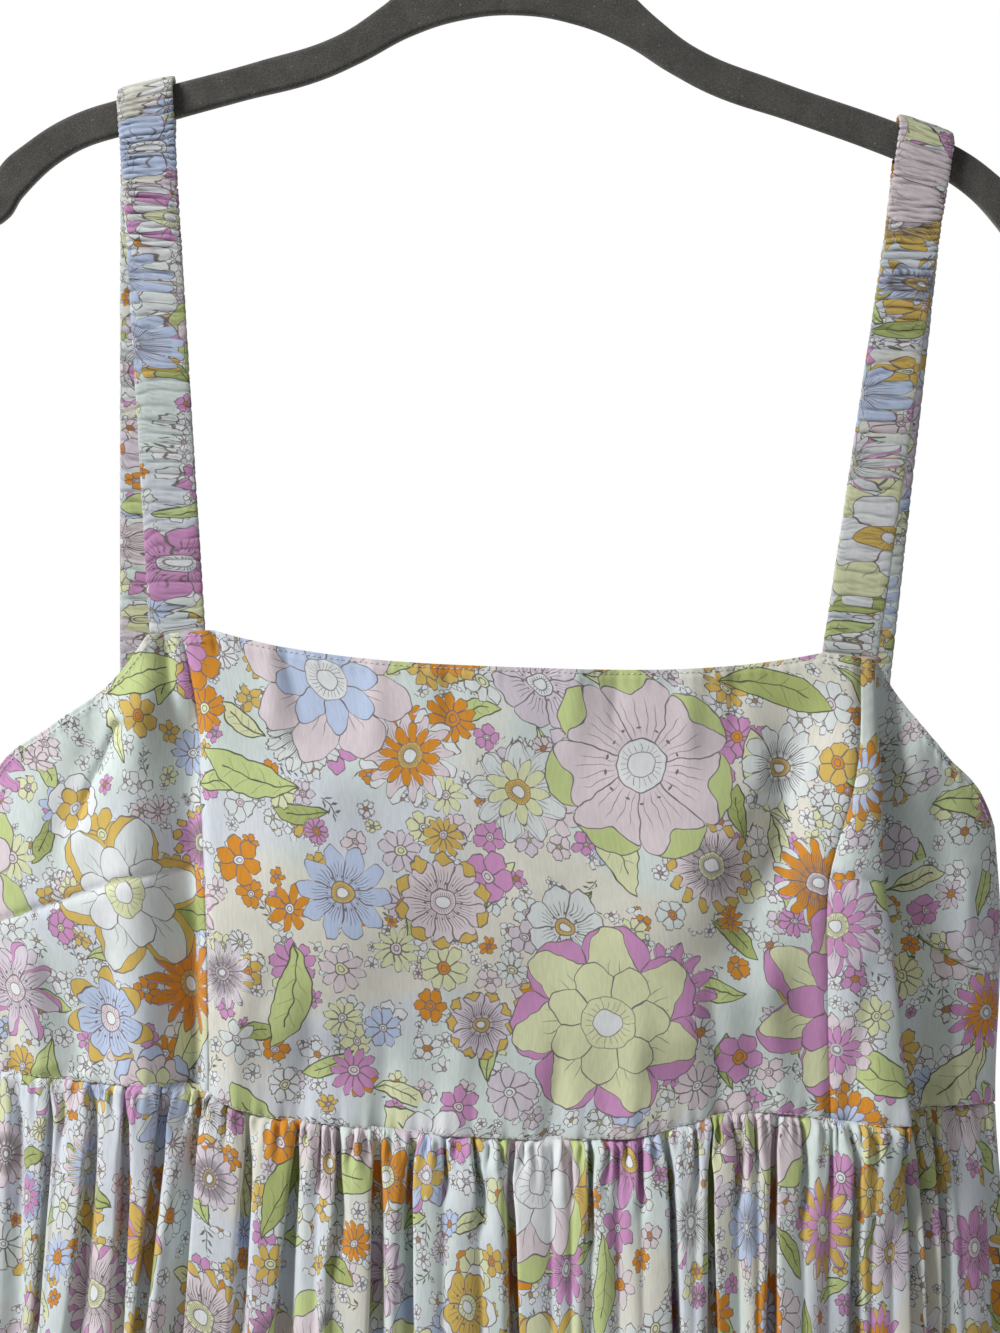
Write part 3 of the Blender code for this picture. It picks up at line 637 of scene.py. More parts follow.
def cloth_mesh(name, points, flat, facing_out=True, shade=None):
    """A grid of points as a smooth mesh, with its place on the flat cloth kept with it.

    The point attribute cloth holds that place in metres, and the map OFBake fits it to a square.
    The attribute shade is painted shade, 1 at the bottom of a tight crease.
    """
    rows, columns = points.shape[:2]
    number = np.arange(rows * columns).reshape(rows, columns)
    corners = [number[:-1, :-1], number[1:, :-1], number[1:, 1:], number[:-1, 1:]]
    quads = np.stack(corners if facing_out else corners[::-1], axis=-1).reshape(-1, 4)
    mesh = bpy.data.meshes.new(name)
    mesh.vertices.add(rows * columns)
    mesh.vertices.foreach_set("co", points.reshape(-1))
    mesh.loops.add(quads.size)
    mesh.loops.foreach_set("vertex_index", quads.reshape(-1).astype(np.int32))
    mesh.polygons.add(len(quads))
    mesh.polygons.foreach_set("loop_start", np.arange(0, quads.size, 4, dtype=np.int32))
    mesh.update(calc_edges=True)
    mesh.validate()
    place = flat.reshape(-1, 2)
    kept = mesh.attributes.new("cloth", "FLOAT_VECTOR", "POINT")
    kept.data.foreach_set("vector", np.column_stack([place, np.zeros(len(place))]).reshape(-1))
    # Painted shade, which the cotton finish uses to darken the colour
    if shade is not None:
        deep = mesh.attributes.new("shade", "FLOAT", "POINT")
        deep.data.foreach_set("value", shade.reshape(-1))
    low, high = place.min(axis=0), place.max(axis=0)
    square = 0.01 + 0.98 * (place - low) / (high - low)
    layer = mesh.uv_layers.new(name="OFBake")
    layer.uv.foreach_set("vector", square[quads.reshape(-1)].astype(np.float32).reshape(-1))
    mesh.shade_smooth()
    return mesh


def put_in_scene(name, data, finish):
    """Links a piece, gives it its finish, and lets it ride with the dress."""
    piece = bpy.data.objects.new(name, data)
    bpy.context.scene.collection.objects.link(piece)
    data.materials.append(finish)
    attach(piece, "root")
    return piece


def thicken(piece, thickness):
    """Gives a shell the cloth's thickness, inwards from its outer face."""
    shell = piece.modifiers.new("Cloth thickness", "SOLIDIFY")
    shell.thickness = thickness
    shell.offset = -1
    shell.use_rim = True
    return piece


class NodeBench:
    """Adds shader nodes to one tree and joins them as it goes."""

    def __init__(self, tree):
        self.tree = tree

    def feed(self, socket, value):
        if isinstance(value, bpy.types.NodeSocket):
            self.tree.links.new(value, socket)
        else:
            socket.default_value = value

    def math(self, operation, *values):
        node = self.tree.nodes.new("ShaderNodeMath")
        node.operation = operation
        for socket, value in zip(node.inputs, values):
            self.feed(socket, value)
        return node.outputs[0]

    def times(self, a, b):
        return self.math("MULTIPLY", a, b)

    def times_plus(self, a, b, c):
        return self.math("MULTIPLY_ADD", a, b, c)

    def plus(self, a, b):
        return self.math("ADD", a, b)

    def minus(self, a, b):
        return self.math("SUBTRACT", a, b)

    def over(self, a, b):
        return self.math("DIVIDE", a, b)

    def larger(self, a, b):
        return self.math("MAXIMUM", a, b)

    def is_less(self, a, b):
        return self.math("LESS_THAN", a, b)

    def size(self, value):
        return self.math("ABSOLUTE", value)

    def sine(self, value):
        return self.math("SINE", value)

    def vector(self, operation, *values, scale=None):
        node = self.tree.nodes.new("ShaderNodeVectorMath")
        node.operation = operation
        for socket, value in zip(node.inputs, values):
            self.feed(socket, value)
        if scale is not None:
            self.feed(node.inputs["Scale"], scale)
        return node.outputs["Value" if operation in ("LENGTH", "DOT_PRODUCT") else "Vector"]

    def mix(self, share, low, high):
        node = self.tree.nodes.new("ShaderNodeMix")
        node.data_type = "RGBA"
        self.feed(node.inputs["Factor"], share)
        self.feed(node.inputs[6], low)
        self.feed(node.inputs[7], high)
        return node.outputs[2]

    def smooth(self, value, start, end, low=0.0, high=1.0):
        """low below start and high above end, with a soft step between."""
        node = self.tree.nodes.new("ShaderNodeMapRange")
        node.interpolation_type = "SMOOTHSTEP"
        for name, given in (
            ("Value", value), ("From Min", start), ("From Max", end),
            ("To Min", low), ("To Max", high),
        ):
            self.feed(node.inputs[name], given)
        return node.outputs["Result"]

    def fade(self, value, start, end):
        return self.smooth(value, start, end, 1.0, 0.0)

    def parts(self, vector):
        node = self.tree.nodes.new("ShaderNodeSeparateXYZ")
        self.feed(node.inputs[0], vector)
        return node.outputs[0], node.outputs[1], node.outputs[2]

    def pick(self, number, colours):
        """One of the colours, by a number from 0 to 1."""
        node = self.tree.nodes.new("ShaderNodeValToRGB")
        ramp = node.color_ramp
        ramp.interpolation = "CONSTANT"
        while len(ramp.elements) < len(colours):
            ramp.elements.new(1.0)
        for k, colour in enumerate(colours):
            ramp.elements[k].position = k / len(colours)
            ramp.elements[k].color = (*colour, 1)
        self.feed(node.inputs[0], number)
        return node.outputs["Color"]

    def cells(self, vector, feature, randomness):
        node = self.tree.nodes.new("ShaderNodeTexVoronoi")
        node.voronoi_dimensions = "2D"
        node.feature = feature
        self.feed(node.inputs["Vector"], vector)
        node.inputs["Scale"].default_value = 1.0
        node.inputs["Randomness"].default_value = randomness
        return node

    def speckle(self, vector, scale, detail=1.0, dimensions="2D"):
        node = self.tree.nodes.new("ShaderNodeTexNoise")
        node.noise_dimensions = dimensions
        self.feed(node.inputs["Vector"], vector)
        node.inputs["Scale"].default_value = scale
        node.inputs["Detail"].default_value = detail
        return node

    def turned(self, vector, share):
        """The vector turned in the cloth's plane by this share of a full turn."""
        node = self.tree.nodes.new("ShaderNodeVectorRotate")
        node.rotation_type = "Z_AXIS"
        self.feed(node.inputs["Vector"], vector)
        self.feed(node.inputs["Angle"], self.times(share, FULL_TURN))
        return node.outputs[0]

    def attribute(self, name, output):
        node = self.tree.nodes.new("ShaderNodeAttribute")
        node.attribute_name = name
        return node.outputs[output]

    def on_object(self):
        return self.tree.nodes.new("ShaderNodeTexCoord").outputs["Object"]

    def bump(self, shader, height, strength, distance):
        """Lets a height shape the light on a finish."""
        node = self.tree.nodes.new("ShaderNodeBump")
        node.inputs["Strength"].default_value = strength
        node.inputs["Distance"].default_value = distance
        self.feed(node.inputs["Height"], height)
        self.feed(shader.inputs["Normal"], node.outputs[0])

    def chance(self, vector):
        """Three even random numbers for a cell, from its middle."""
        node = self.tree.nodes.new("ShaderNodeTexWhiteNoise")
        node.noise_dimensions = "2D"
        self.feed(node.inputs["Vector"], vector)
        return self.parts(node.outputs["Color"])


def ink(code):
    """Scene colour of a dye given as its six-digit code."""
    channels = [(code >> shift & 255) / 255 for shift in (16, 8, 0)]
    return tuple(c / 12.92 if c <= 0.04045 else ((c + 0.055) / 1.055) ** 2.4 for c in channels)


GROUND_MINT = ink(0xDCE7E3)
GROUND_BLUE = ink(0xDEE4EC)
GROUND_CREAM = ink(0xE9E5D6)
WHITE = ink(0xEBEEF0)
PALE = ink(0xE2E9E8)
ORANGE = ink(0xE09633)
MUSTARD = ink(0xDDBD66)
ORCHID = ink(0xD69BCB)
LILAC = ink(0xDED4DF)
BLUSH = ink(0xE6DADF)
SKY = ink(0xC6D5F1)
LIME = ink(0xCAD896)
OLIVE = ink(0xB4C07B)
CREAM_GREEN = ink(0xE4E8BD)
OUTLINE = ink(0x80777A)
LEAF_LINE = ink(0x626752)

Bloom = namedtuple(
    "Bloom", "cell widest few many notch chance edge veined double seed petals tips hearts"
)
SPRAY = Bloom(
    cell=9.6, widest=4.6, few=5, many=6, notch=(0.36, 0.5), chance=0.8, edge=0.34,
    veined=False, double=0, seed=57, petals=(WHITE, WHITE, PALE, WHITE), tips=None,
    hearts=(CREAM_GREEN, WHITE, MUSTARD),
)
BLOOMS = (
    Bloom(
        cell=14.6, widest=7.0, few=5, many=6, notch=(0.34, 0.5), chance=0.72, edge=0.42,
        veined=False, double=0, seed=3,
        petals=(WHITE, PALE, LILAC, PALE, CREAM_GREEN, WHITE, MUSTARD, BLUSH, ORANGE, ORCHID),
        tips=None, hearts=(CREAM_GREEN, WHITE, BLUSH, ORANGE),
    ),
    Bloom(
        cell=24, widest=10.5, few=5, many=11, notch=(0.25, 0.55), chance=0.78, edge=0.46,
        veined=False, double=0, seed=11,
        petals=(PALE, MUSTARD, BLUSH, ORCHID, WHITE, CREAM_GREEN, PALE, ORANGE, LILAC, SKY),
        tips=None, hearts=(WHITE, BLUSH, CREAM_GREEN, ORANGE),
    ),
    Bloom(
        cell=50, widest=21, few=5, many=15, notch=(0.18, 0.6), chance=0.78, edge=0.5,
        veined=True, double=0.35, seed=23,
        petals=(PALE, SKY, BLUSH, ORANGE, WHITE, ORCHID, LILAC, MUSTARD),
        tips=(PALE, ORCHID, WHITE, MUSTARD), hearts=(WHITE, MUSTARD, BLUSH, CREAM_GREEN),
    ),
    Bloom(
        cell=104, widest=40, few=6, many=8, notch=(0.22, 0.42), chance=0.5, edge=0.52,
        veined=True, double=0.55, seed=41,
        petals=(BLUSH, PALE, LILAC, BLUSH, CREAM_GREEN), tips=(ORCHID, MUSTARD, ORCHID, LIME, SKY),
        hearts=(MUSTARD, WHITE, CREAM_GREEN),
    ),
)
INNER_PETALS = (MUSTARD, WHITE, CREAM_GREEN, ORCHID, ORANGE, SKY)
Leaf = namedtuple("Leaf", "cell length width chance seed")
LEAVES = (
    Leaf(cell=34.0, length=24.0, width=9.5, chance=0.6, seed=5),
    Leaf(cell=74.0, length=44.0, width=18.0, chance=0.66, seed=9),
)
SPRIG_CELL = 17.0
FULL_TURN = 6.283
LINE_SOFT = 0.12
EDGE_SCALLOPS = 6.0
PETAL_VEINS = 5.0
HEART_RAYS = 3.0
HEART_DOTS = 4.0
TIP_FROM = 0.87
TIPPED_FROM = 0.45
WOBBLE_SCALE = 0.11
WOBBLE = 3.4
BLUE_SCALE = 0.012
CREAM_SCALE = 0.0085
SPRAY_SCALE = 0.035


def print_blooms(bench, place, below, kind):
    """Draws one size of flower over the print so far, and returns the new colour.

    Each flower sits in the middle of its own cell and is as wide as its neighbours leave room
    for. Its petals, turn and colours come from the cell's random numbers.
    """
    moved = bench.vector("ADD", place, (kind.seed * 37.0, kind.seed * 53.0, 0))
    scaled = bench.vector("MULTIPLY", moved, (1 / kind.cell,) * 3)
    cell = bench.cells(scaled, "F1", 0.8)
    room = bench.cells(scaled, "N_SPHERE_RADIUS", 0.8)
    middle = cell.outputs["Position"]
    local = bench.vector("SUBTRACT", scaled, middle)
    x, y, _ = bench.parts(bench.vector("MULTIPLY", local, (kind.cell,) * 3))
    shown, count_chance, turn = bench.parts(cell.outputs["Color"])
    dye, heart_dye, shape = bench.chance(middle)

    radius = bench.times(room.outputs["Radius"], kind.cell * 0.96)
    radius = bench.math("MINIMUM", radius, kind.widest)
    away = bench.vector("LENGTH", bench.vector("MULTIPLY", local, (kind.cell,) * 3))
    angle = bench.plus(bench.math("ARCTAN2", y, x), bench.times(turn, FULL_TURN))
    spread = kind.many - kind.few + 0.99
    count = bench.math("FLOOR", bench.times_plus(count_chance, spread, kind.few))
    half_turn = bench.times(bench.times(angle, count), 0.5)
    petal = bench.size(bench.sine(half_turn))

    roundness = bench.times_plus(shape, 0.75, 0.35)
    notch = bench.times_plus(shape, kind.notch[1] - kind.notch[0], kind.notch[0])
    bow = bench.math("POWER", petal, roundness)
    fall = bench.times(notch, bench.minus(1.0, bow))
    reach = bench.times(radius, bench.minus(1.0, fall))
    scallop = bench.sine(bench.times(half_turn, EDGE_SCALLOPS))
    reach = bench.times_plus(scallop, kind.edge * 0.5, reach)

    half_line = kind.edge / 2
    present = bench.is_less(shown, kind.chance)
    inside = bench.smooth(bench.minus(reach, away), -LINE_SOFT, LINE_SOFT)
    rim = bench.size(bench.minus(reach, away))
    line = bench.fade(rim, half_line - LINE_SOFT, half_line + 0.16)

    heart_size = bench.times(radius, bench.times_plus(heart_dye, 0.1, 0.2))
    off_heart = bench.minus(away, heart_size)
    beyond_heart = bench.smooth(off_heart, -0.1, 0.15)
    ring = bench.fade(bench.size(off_heart), half_line - 0.1, half_line + 0.14)
    split = bench.over(bench.times(away, petal), count)
    split = bench.times(split, 2.0)
    parting = bench.fade(split, half_line - 0.1, half_line + 0.16)
    parting = bench.times(bench.times(parting, inside), beyond_heart)
    lines = bench.larger(bench.larger(line, ring), parting)

    colour = bench.pick(dye, kind.petals)
    if kind.veined:
        share = bench.over(away, reach)
        fine = bench.size(bench.sine(bench.times(half_turn, PETAL_VEINS)))
        fine = bench.over(bench.times(away, fine), count)
        vein = bench.smooth(fine, 0.2, 0.6, 0.8, 0.0)
        vein = bench.times(vein, bench.smooth(share, 0.72, 0.60))
        vein = bench.times(vein, bench.smooth(share, 0.25, 0.38))
        lines = bench.larger(lines, bench.times(vein, inside))
        both = bench.plus(half_turn, half_turn)
        swing = bench.sine(bench.times_plus(turn, 6.0, both))
        wavy = bench.times_plus(swing, 0.14, share)
        tip = bench.smooth(wavy, TIP_FROM, TIP_FROM + 0.015)
        tipped = bench.math("GREATER_THAN", heart_dye, TIPPED_FROM)
        tip = bench.times(tip, tipped)
        colour = bench.mix(tip, colour, bench.pick(turn, kind.tips))
        tip_line = bench.size(bench.minus(wavy, TIP_FROM))
        tip_line = bench.fade(bench.times(tip_line, reach), 0.2, 0.4)
        tip_line = bench.times(bench.times(tip_line, tipped), inside)
        lines = bench.larger(lines, tip_line)
        dot_turn = bench.sine(bench.times(half_turn, HEART_DOTS))
        band = bench.minus(away, bench.times(heart_size, 1.45))
        dots = bench.minus(dot_turn, bench.size(band))
        lines = bench.larger(lines, bench.smooth(dots, 0.35, 0.55))
    if kind.double:
        between = bench.size(bench.math("COSINE", half_turn))
        fall = bench.times(notch, bench.minus(1.0, between))
        reach = bench.times(radius, bench.times_plus(fall, -0.7, 0.64))
        doubled = bench.is_less(shown, kind.chance * kind.double)
        off_rim = bench.minus(reach, away)
        over = bench.times(bench.smooth(off_rim, -LINE_SOFT, LINE_SOFT), doubled)
        rim = bench.fade(bench.size(off_rim), half_line - LINE_SOFT, half_line + 0.16)
        split = bench.over(bench.times(away, between), count)
        split = bench.fade(split, half_line / 2 - 0.05, half_line / 2 + 0.08)
        split = bench.times(bench.times(split, over), beyond_heart)
        rim = bench.larger(bench.times(rim, doubled), split)
        plain = bench.minus(1.0, bench.times(over, beyond_heart))
        lines = bench.larger(bench.times(lines, plain), rim)
        colour = bench.mix(over, colour, bench.pick(count_chance, INNER_PETALS))
    colour = bench.mix(bench.minus(1.0, beyond_heart), colour,
                       bench.pick(heart_dye, kind.hearts))
    inner = bench.over(away, heart_size)
    if kind.veined:
        rayed = bench.size(bench.sine(bench.times(half_turn, HEART_RAYS)))
        rayed = bench.times(away, rayed)
        ray = bench.smooth(bench.over(rayed, count), 0.1, 0.26, 0.85, 0.0)
        ray = bench.times(ray, bench.smooth(inner, 0.5, 0.56))
        ray = bench.times(ray, bench.smooth(inner, 0.86, 0.80))
        lines = bench.larger(lines, ray)
        colour = bench.mix(bench.smooth(inner, 0.5, 0.47), colour, (*WHITE, 1))
    off_dot = bench.size(bench.minus(away, bench.times(heart_size, 0.5)))
    dot = bench.smooth(off_dot, 0.12, 0.32, 0.9, 0.0)
    lines = bench.larger(lines, dot)
    cover = bench.times(inside, present)
    lines = bench.times(lines, present)
    return bench.mix(lines, bench.mix(cover, below, colour), (*OUTLINE, 1))


def print_leaves(bench, place, below, leaf):
    """Draws pointed leaves with a rib over the print so far, and returns the new colour."""
    moved = bench.vector("ADD", place, (leaf.seed * 31.0, leaf.seed * 17.0, 0))
    scaled = bench.vector("MULTIPLY", moved, (1 / leaf.cell,) * 3)
    cell = bench.cells(scaled, "F1", 0.75)
    local = bench.vector("SUBTRACT", scaled, cell.outputs["Position"])
    local = bench.vector("MULTIPLY", local, (leaf.cell,) * 3)
    shown, turn, dye = bench.parts(cell.outputs["Color"])
    x, y, _ = bench.parts(bench.turned(local, turn))
    along = bench.over(x, leaf.length / 2)
    bend = bench.times(bench.times(along, along), leaf.width * 0.22)
    y = bench.plus(y, bend)
    lens = bench.minus(1.0, bench.times(along, along))
    lens = bench.times(lens, bench.times_plus(along, 0.18, 0.86))
    edge = bench.times(lens, leaf.width / 2)
    off = bench.minus(edge, bench.size(y))
    present = bench.is_less(shown, leaf.chance)
    cover = bench.times(bench.smooth(off, -LINE_SOFT, LINE_SOFT), present)
    line = bench.fade(bench.size(off), 0.16, 0.42)
    near = bench.fade(bench.size(along), 0.98, 1.06)
    line = bench.times(line, near)
    rib = bench.fade(bench.size(y), 0.14, 0.4)
    rib_end = bench.fade(along, 0.55, 0.6)
    rib = bench.times(bench.times(rib, rib_end), cover)
    slant = bench.minus(x, bench.times(bench.size(y), 0.9))
    slant = bench.math("PINGPONG", slant, leaf.length / 12)
    veins = bench.smooth(slant, 0.1, 0.3, 0.55, 0.0)
    veins = bench.times(veins, bench.smooth(off, leaf.width * 0.10, leaf.width * 0.14))
    veins = bench.times(bench.times(veins, rib_end), present)
    lines = bench.times(bench.larger(line, rib), present)
    lines = bench.larger(lines, veins)
    colour = bench.pick(dye, (LIME, OLIVE, LIME, CREAM_GREEN))
    return bench.mix(lines, bench.mix(cover, below, colour), (*LEAF_LINE, 1))


def print_sprigs(bench, place, below):
    """Draws small dark twigs with paired leaves, and returns the new colour."""
    scaled = bench.vector("ADD", place, (911.0, 377.0, 0))
    scaled = bench.vector("MULTIPLY", scaled, (1 / SPRIG_CELL,) * 3)
    cell = bench.cells(scaled, "F1", 0.9)
    local = bench.vector("SUBTRACT", scaled, cell.outputs["Position"])
    local = bench.vector("MULTIPLY", local, (SPRIG_CELL,) * 3)
    shown, turn, _ = bench.parts(cell.outputs["Color"])
    x, y, _ = bench.parts(bench.turned(local, turn))
    y = bench.plus(y, bench.times(bench.times(x, x), 0.02))
    side = bench.size(y)
    stem = bench.fade(side, 0.12, 0.32)
    slanted = bench.minus(x, bench.times(side, 0.9))
    paired = bench.minus(bench.math("MODULO", bench.plus(slanted, 99.0), 3.3), 1.6)
    leaf = bench.minus(0.75, bench.size(paired))
    out = bench.size(bench.minus(side, 1.5))
    leaf = bench.minus(leaf, bench.times(out, 0.5))
    leaf = bench.smooth(leaf, -0.05, 0.15)
    within = bench.fade(bench.size(x), 5.6, 6.2)
    mark = bench.times(bench.larger(stem, leaf), within)
    mark = bench.times(mark, bench.is_less(shown, 0.8))
    return bench.mix(bench.times(mark, 0.9), below, (*LEAF_LINE, 1))


def flower_print(colours):
    """Node group that turns a place on the flat cloth, in metres, into the print's colour."""
    group = bpy.data.node_groups.new("Flower print", "ShaderNodeTree")
    group.interface.new_socket("Place", in_out="INPUT", socket_type="NodeSocketVector")
    group.interface.new_socket("Colour", in_out="OUTPUT", socket_type="NodeSocketColor")
    bench = NodeBench(group)
    given = group.nodes.new("NodeGroupInput").outputs[0]
    place = bench.vector("MULTIPLY", given, (1 / MM,) * 3)
    wobble = bench.speckle(place, WOBBLE_SCALE).outputs["Color"]
    wobble = bench.vector("SUBTRACT", wobble, (0.5, 0.5, 0.5))
    wobble = bench.vector("MULTIPLY", wobble, (WOBBLE, WOBBLE, 0))
    drawn = bench.vector("ADD", place, wobble)
    tint = bench.smooth(bench.speckle(place, BLUE_SCALE).outputs["Fac"], 0.4, 0.6)
    colour = bench.mix(tint, (*colours.ground, 1), (*colours.ground_blue, 1))
    warm = bench.smooth(bench.speckle(place, CREAM_SCALE).outputs["Fac"], 0.52, 0.62, 0.0, 0.85)
    colour = bench.mix(warm, colour, (*colours.ground_cream, 1))
    small, medium, large, largest = BLOOMS
    sprayed = print_blooms(bench, drawn, print_sprigs(bench, drawn, colour), SPRAY)
    grows = bench.smooth(bench.speckle(drawn, SPRAY_SCALE).outputs["Fac"], 0.51, 0.515)
    colour = bench.mix(grows, colour, sprayed)
    colour = print_blooms(bench, drawn, colour, small)
    colour = print_leaves(bench, drawn, colour, LEAVES[0])
    colour = print_blooms(bench, drawn, colour, medium)
    colour = print_leaves(bench, drawn, colour, LEAVES[1])
    colour = print_blooms(bench, drawn, colour, large)
    colour = print_blooms(bench, drawn, colour, largest)
    bench.feed(group.nodes.new("NodeGroupOutput").inputs[0], colour)
    return group


def new_finish(name, roughness, colour=(0.8, 0.8, 0.8), metallic=0.0):
    finish = bpy.data.materials.new(name)
    finish.use_nodes = True
    shader = finish.node_tree.nodes["Principled BSDF"]
    shader.inputs["Base Color"].default_value = (*colour, 1)
    shader.inputs["Roughness"].default_value = roughness
    shader.inputs["Metallic"].default_value = metallic
    return finish, shader, NodeBench(finish.node_tree)


WEAVE = 0.62 * MM


def printed_cotton():
    """Plain-weave cotton lawn with the flower print, a little sheen and a soft hand."""
    made = bpy.data.materials.get("Printed cotton")
    if made:
        return made
    colours = bpy.context.scene.dress_colours
    finish, shader, bench = new_finish("Printed cotton", 0.82)
    shader.inputs["Specular IOR Level"].default_value = 0.25
    shader.inputs["Sheen Weight"].default_value = 0.12
    shader.inputs["Sheen Roughness"].default_value = 0.45
    place = bench.attribute("cloth", "Vector")
    group = finish.node_tree.nodes.new("ShaderNodeGroup")
    group.node_tree = flower_print(colours)
    bench.feed(group.inputs[0], place)
    slub = bench.speckle(bench.vector("MULTIPLY", place, (900, 160, 1)), 1.0, 2.0).outputs["Fac"]
    slub = bench.smooth(slub, 0.3, 0.7, 0.955, 1.03)
    # Painted shade: the print's colour is darkened where the attribute shade is high, in the straps
    painted_crease_shade = bench.smooth(bench.attribute("shade", "Fac"), 0.25, 1.0, 1.0, 0.5)
    colour = bench.vector("SCALE", group.outputs[0], scale=bench.times(slub, painted_crease_shade))
    bench.feed(shader.inputs["Base Color"], colour)
    turns = bench.vector("MULTIPLY", place, (2 * math.pi / WEAVE,) * 3)
    across, along, _ = bench.parts(turns)
    weave = bench.times(bench.sine(across), bench.sine(along))
    crinkle = bench.speckle(place, 95.0, 3.0).outputs["Fac"]
    height = bench.times_plus(crinkle, 9.0, weave)
    bench.bump(shader, height, 0.5, 0.05 * MM)
    return finish


def sewing_thread():
    """Pale polyester thread with fine flecks."""
    made = bpy.data.materials.get("Sewing thread")
    if made:
        return made
    colours = bpy.context.scene.dress_colours
    finish, shader, bench = new_finish("Sewing thread", 0.55, colours.thread)
    shader.inputs["Sheen Weight"].default_value = 0.2
    coords = bench.on_object()
    fleck = bench.speckle(coords, 900.0, 2.0, "3D").outputs["Fac"]
    shade = bench.smooth(fleck, 0.3, 0.7, 0.8, 1.0)
    bench.feed(shader.inputs["Base Color"], bench.vector("SCALE", (*colours.thread,), scale=shade))
    return finish


def flock():
    """Short dark fibres stood on plastic: matt, with paler lint and a fine grain."""
    colours = bpy.context.scene.dress_colours
    finish, shader, bench = new_finish("Flock", 0.96, colours.flock)
    shader.inputs["Specular IOR Level"].default_value = 0.1
    shader.inputs["Sheen Weight"].default_value = 0.35
    shader.inputs["Sheen Roughness"].default_value = 0.6
    coords = bench.on_object()
    grain = bench.speckle(coords, 1500.0, 2.0, "3D").outputs["Fac"]
    patch = bench.speckle(coords, 120.0, 3.0, "3D").outputs["Fac"]
    shade = bench.times(bench.smooth(grain, 0.3, 0.7, 0.7, 1.35),
                       bench.smooth(patch, 0.3, 0.7, 0.85, 1.15))
    lint = bench.smooth(bench.speckle(coords, 700.0, 1.0, "3D").outputs["Fac"], 0.71, 0.76)
    colour = bench.vector("SCALE", (*colours.flock,), scale=shade)
    bench.feed(shader.inputs["Base Color"], bench.mix(lint, colour, (*colours.lint, 1)))
    bench.bump(shader, grain, 0.7, 0.25 * MM)
    return finish


def hook_wire():
    """Plated wire with small dulled spots."""
    colours = bpy.context.scene.dress_colours
    finish, shader, bench = new_finish("Hook wire", 0.2, colours.wire, 1.0)
    coords = bench.on_object()
    dull = bench.speckle(coords, 260.0, 3.0, "3D").outputs["Fac"]
    bench.feed(shader.inputs["Roughness"], bench.smooth(dull, 0.4, 0.75, 0.14, 0.38))
    shade = bench.smooth(dull, 0.35, 0.8, 1.0, 0.86)
    bench.feed(shader.inputs["Base Color"], bench.vector("SCALE", (*colours.wire,), scale=shade))
    return finish


class DressSizes(bpy.types.PropertyGroup):
    cloth_thickness: bpy.props.FloatProperty(
        name="Cloth thickness", description="Thickness of the cloth shells",
        default=0.5 * MM, min=0.1 * MM, max=2 * MM, unit="LENGTH",
    )
    stitch_length: bpy.props.FloatProperty(
        name="Stitch length", description="Length of one stitch that shows",
        default=1.7 * MM, min=0.5 * MM, max=5 * MM, unit="LENGTH",
    )
    stitch_gap: bpy.props.FloatProperty(
        name="Stitch gap", description="Cloth that shows between two stitches",
        default=0.8 * MM, min=0.2 * MM, max=5 * MM, unit="LENGTH",
    )
    thread_width: bpy.props.FloatProperty(
        name="Thread width", description="Width of the sewing thread",
        default=0.42 * MM, min=0.1 * MM, max=1 * MM, unit="LENGTH",
    )
    strap_cut_length: bpy.props.FloatProperty(
        name="Strap length",
        description="Length of a strap's ruched band, from the front over the bar to the back",
        default=0.56, min=0.4, max=1.5, unit="LENGTH",
    )
    wire_radius: bpy.props.FloatProperty(
        name="Wire radius", description="Half the thickness of the hook's wire",
        default=2.0 * MM, min=1 * MM, max=3 * MM, unit="LENGTH",
    )
    hook_radius: bpy.props.FloatProperty(
        name="Hook radius", description="Radius of the hook's round, at the wire's middle",
        default=23 * MM, min=15 * MM, max=40 * MM, unit="LENGTH",
    )


class DressColours(bpy.types.PropertyGroup):
    ground: bpy.props.FloatVectorProperty(
        name="Ground", description="Pale mint of the cloth between the flowers",
        default=GROUND_MINT, subtype="COLOR", min=0, max=1,
    )
    ground_blue: bpy.props.FloatVectorProperty(
        name="Ground, bluer", description="Bluer tone that the ground turns to in places",
        default=GROUND_BLUE, subtype="COLOR", min=0, max=1,
    )
    ground_cream: bpy.props.FloatVectorProperty(
        name="Ground, creamier", description="Creamy tone that the ground turns to in places",
        default=GROUND_CREAM, subtype="COLOR", min=0, max=1,
    )
    thread: bpy.props.FloatVectorProperty(
        name="Thread", description="Sewing thread", default=ink(0xE6E4DF),
        subtype="COLOR", min=0, max=1,
    )
    flock: bpy.props.FloatVectorProperty(
        name="Flock", description="Flock on the hanger", default=(0.075, 0.07, 0.063),
        subtype="COLOR", min=0, max=1,
    )
    lint: bpy.props.FloatVectorProperty(
        name="Lint", description="Pale lint caught in the flock", default=(0.2, 0.19, 0.17),
        subtype="COLOR", min=0, max=1,
    )
    wire: bpy.props.FloatVectorProperty(
        name="Wire", description="Plated hook wire", default=(0.78, 0.78, 0.79),
        subtype="COLOR", min=0, max=1,
    )


class DressStage(bpy.types.PropertyGroup):
    distance: bpy.props.FloatProperty(
        name="Camera distance", description="From the lens to the front of the dress",
        default=1.0, min=0.5, max=5, unit="LENGTH",
    )
    view_width: bpy.props.FloatProperty(
        name="View width", description="Width of the picture at the front of the dress",
        default=0.42, min=0.1, max=3, unit="LENGTH",
    )
    tilt: bpy.props.FloatProperty(
        name="Tilt", description="How far the picture is turned", default=math.radians(-2.0),
        subtype="ANGLE",
    )
    key_power: bpy.props.FloatProperty(
        name="Key light", description="Power of the large light at the upper left",
        default=63, min=0,
    )
    fill_power: bpy.props.FloatProperty(
        name="Fill light", description="Power of the light at the right", default=2, min=0,
    )
    sky: bpy.props.FloatProperty(
        name="Room light", description="Brightness of the even light from all round",
        default=0.14, min=0,
    )


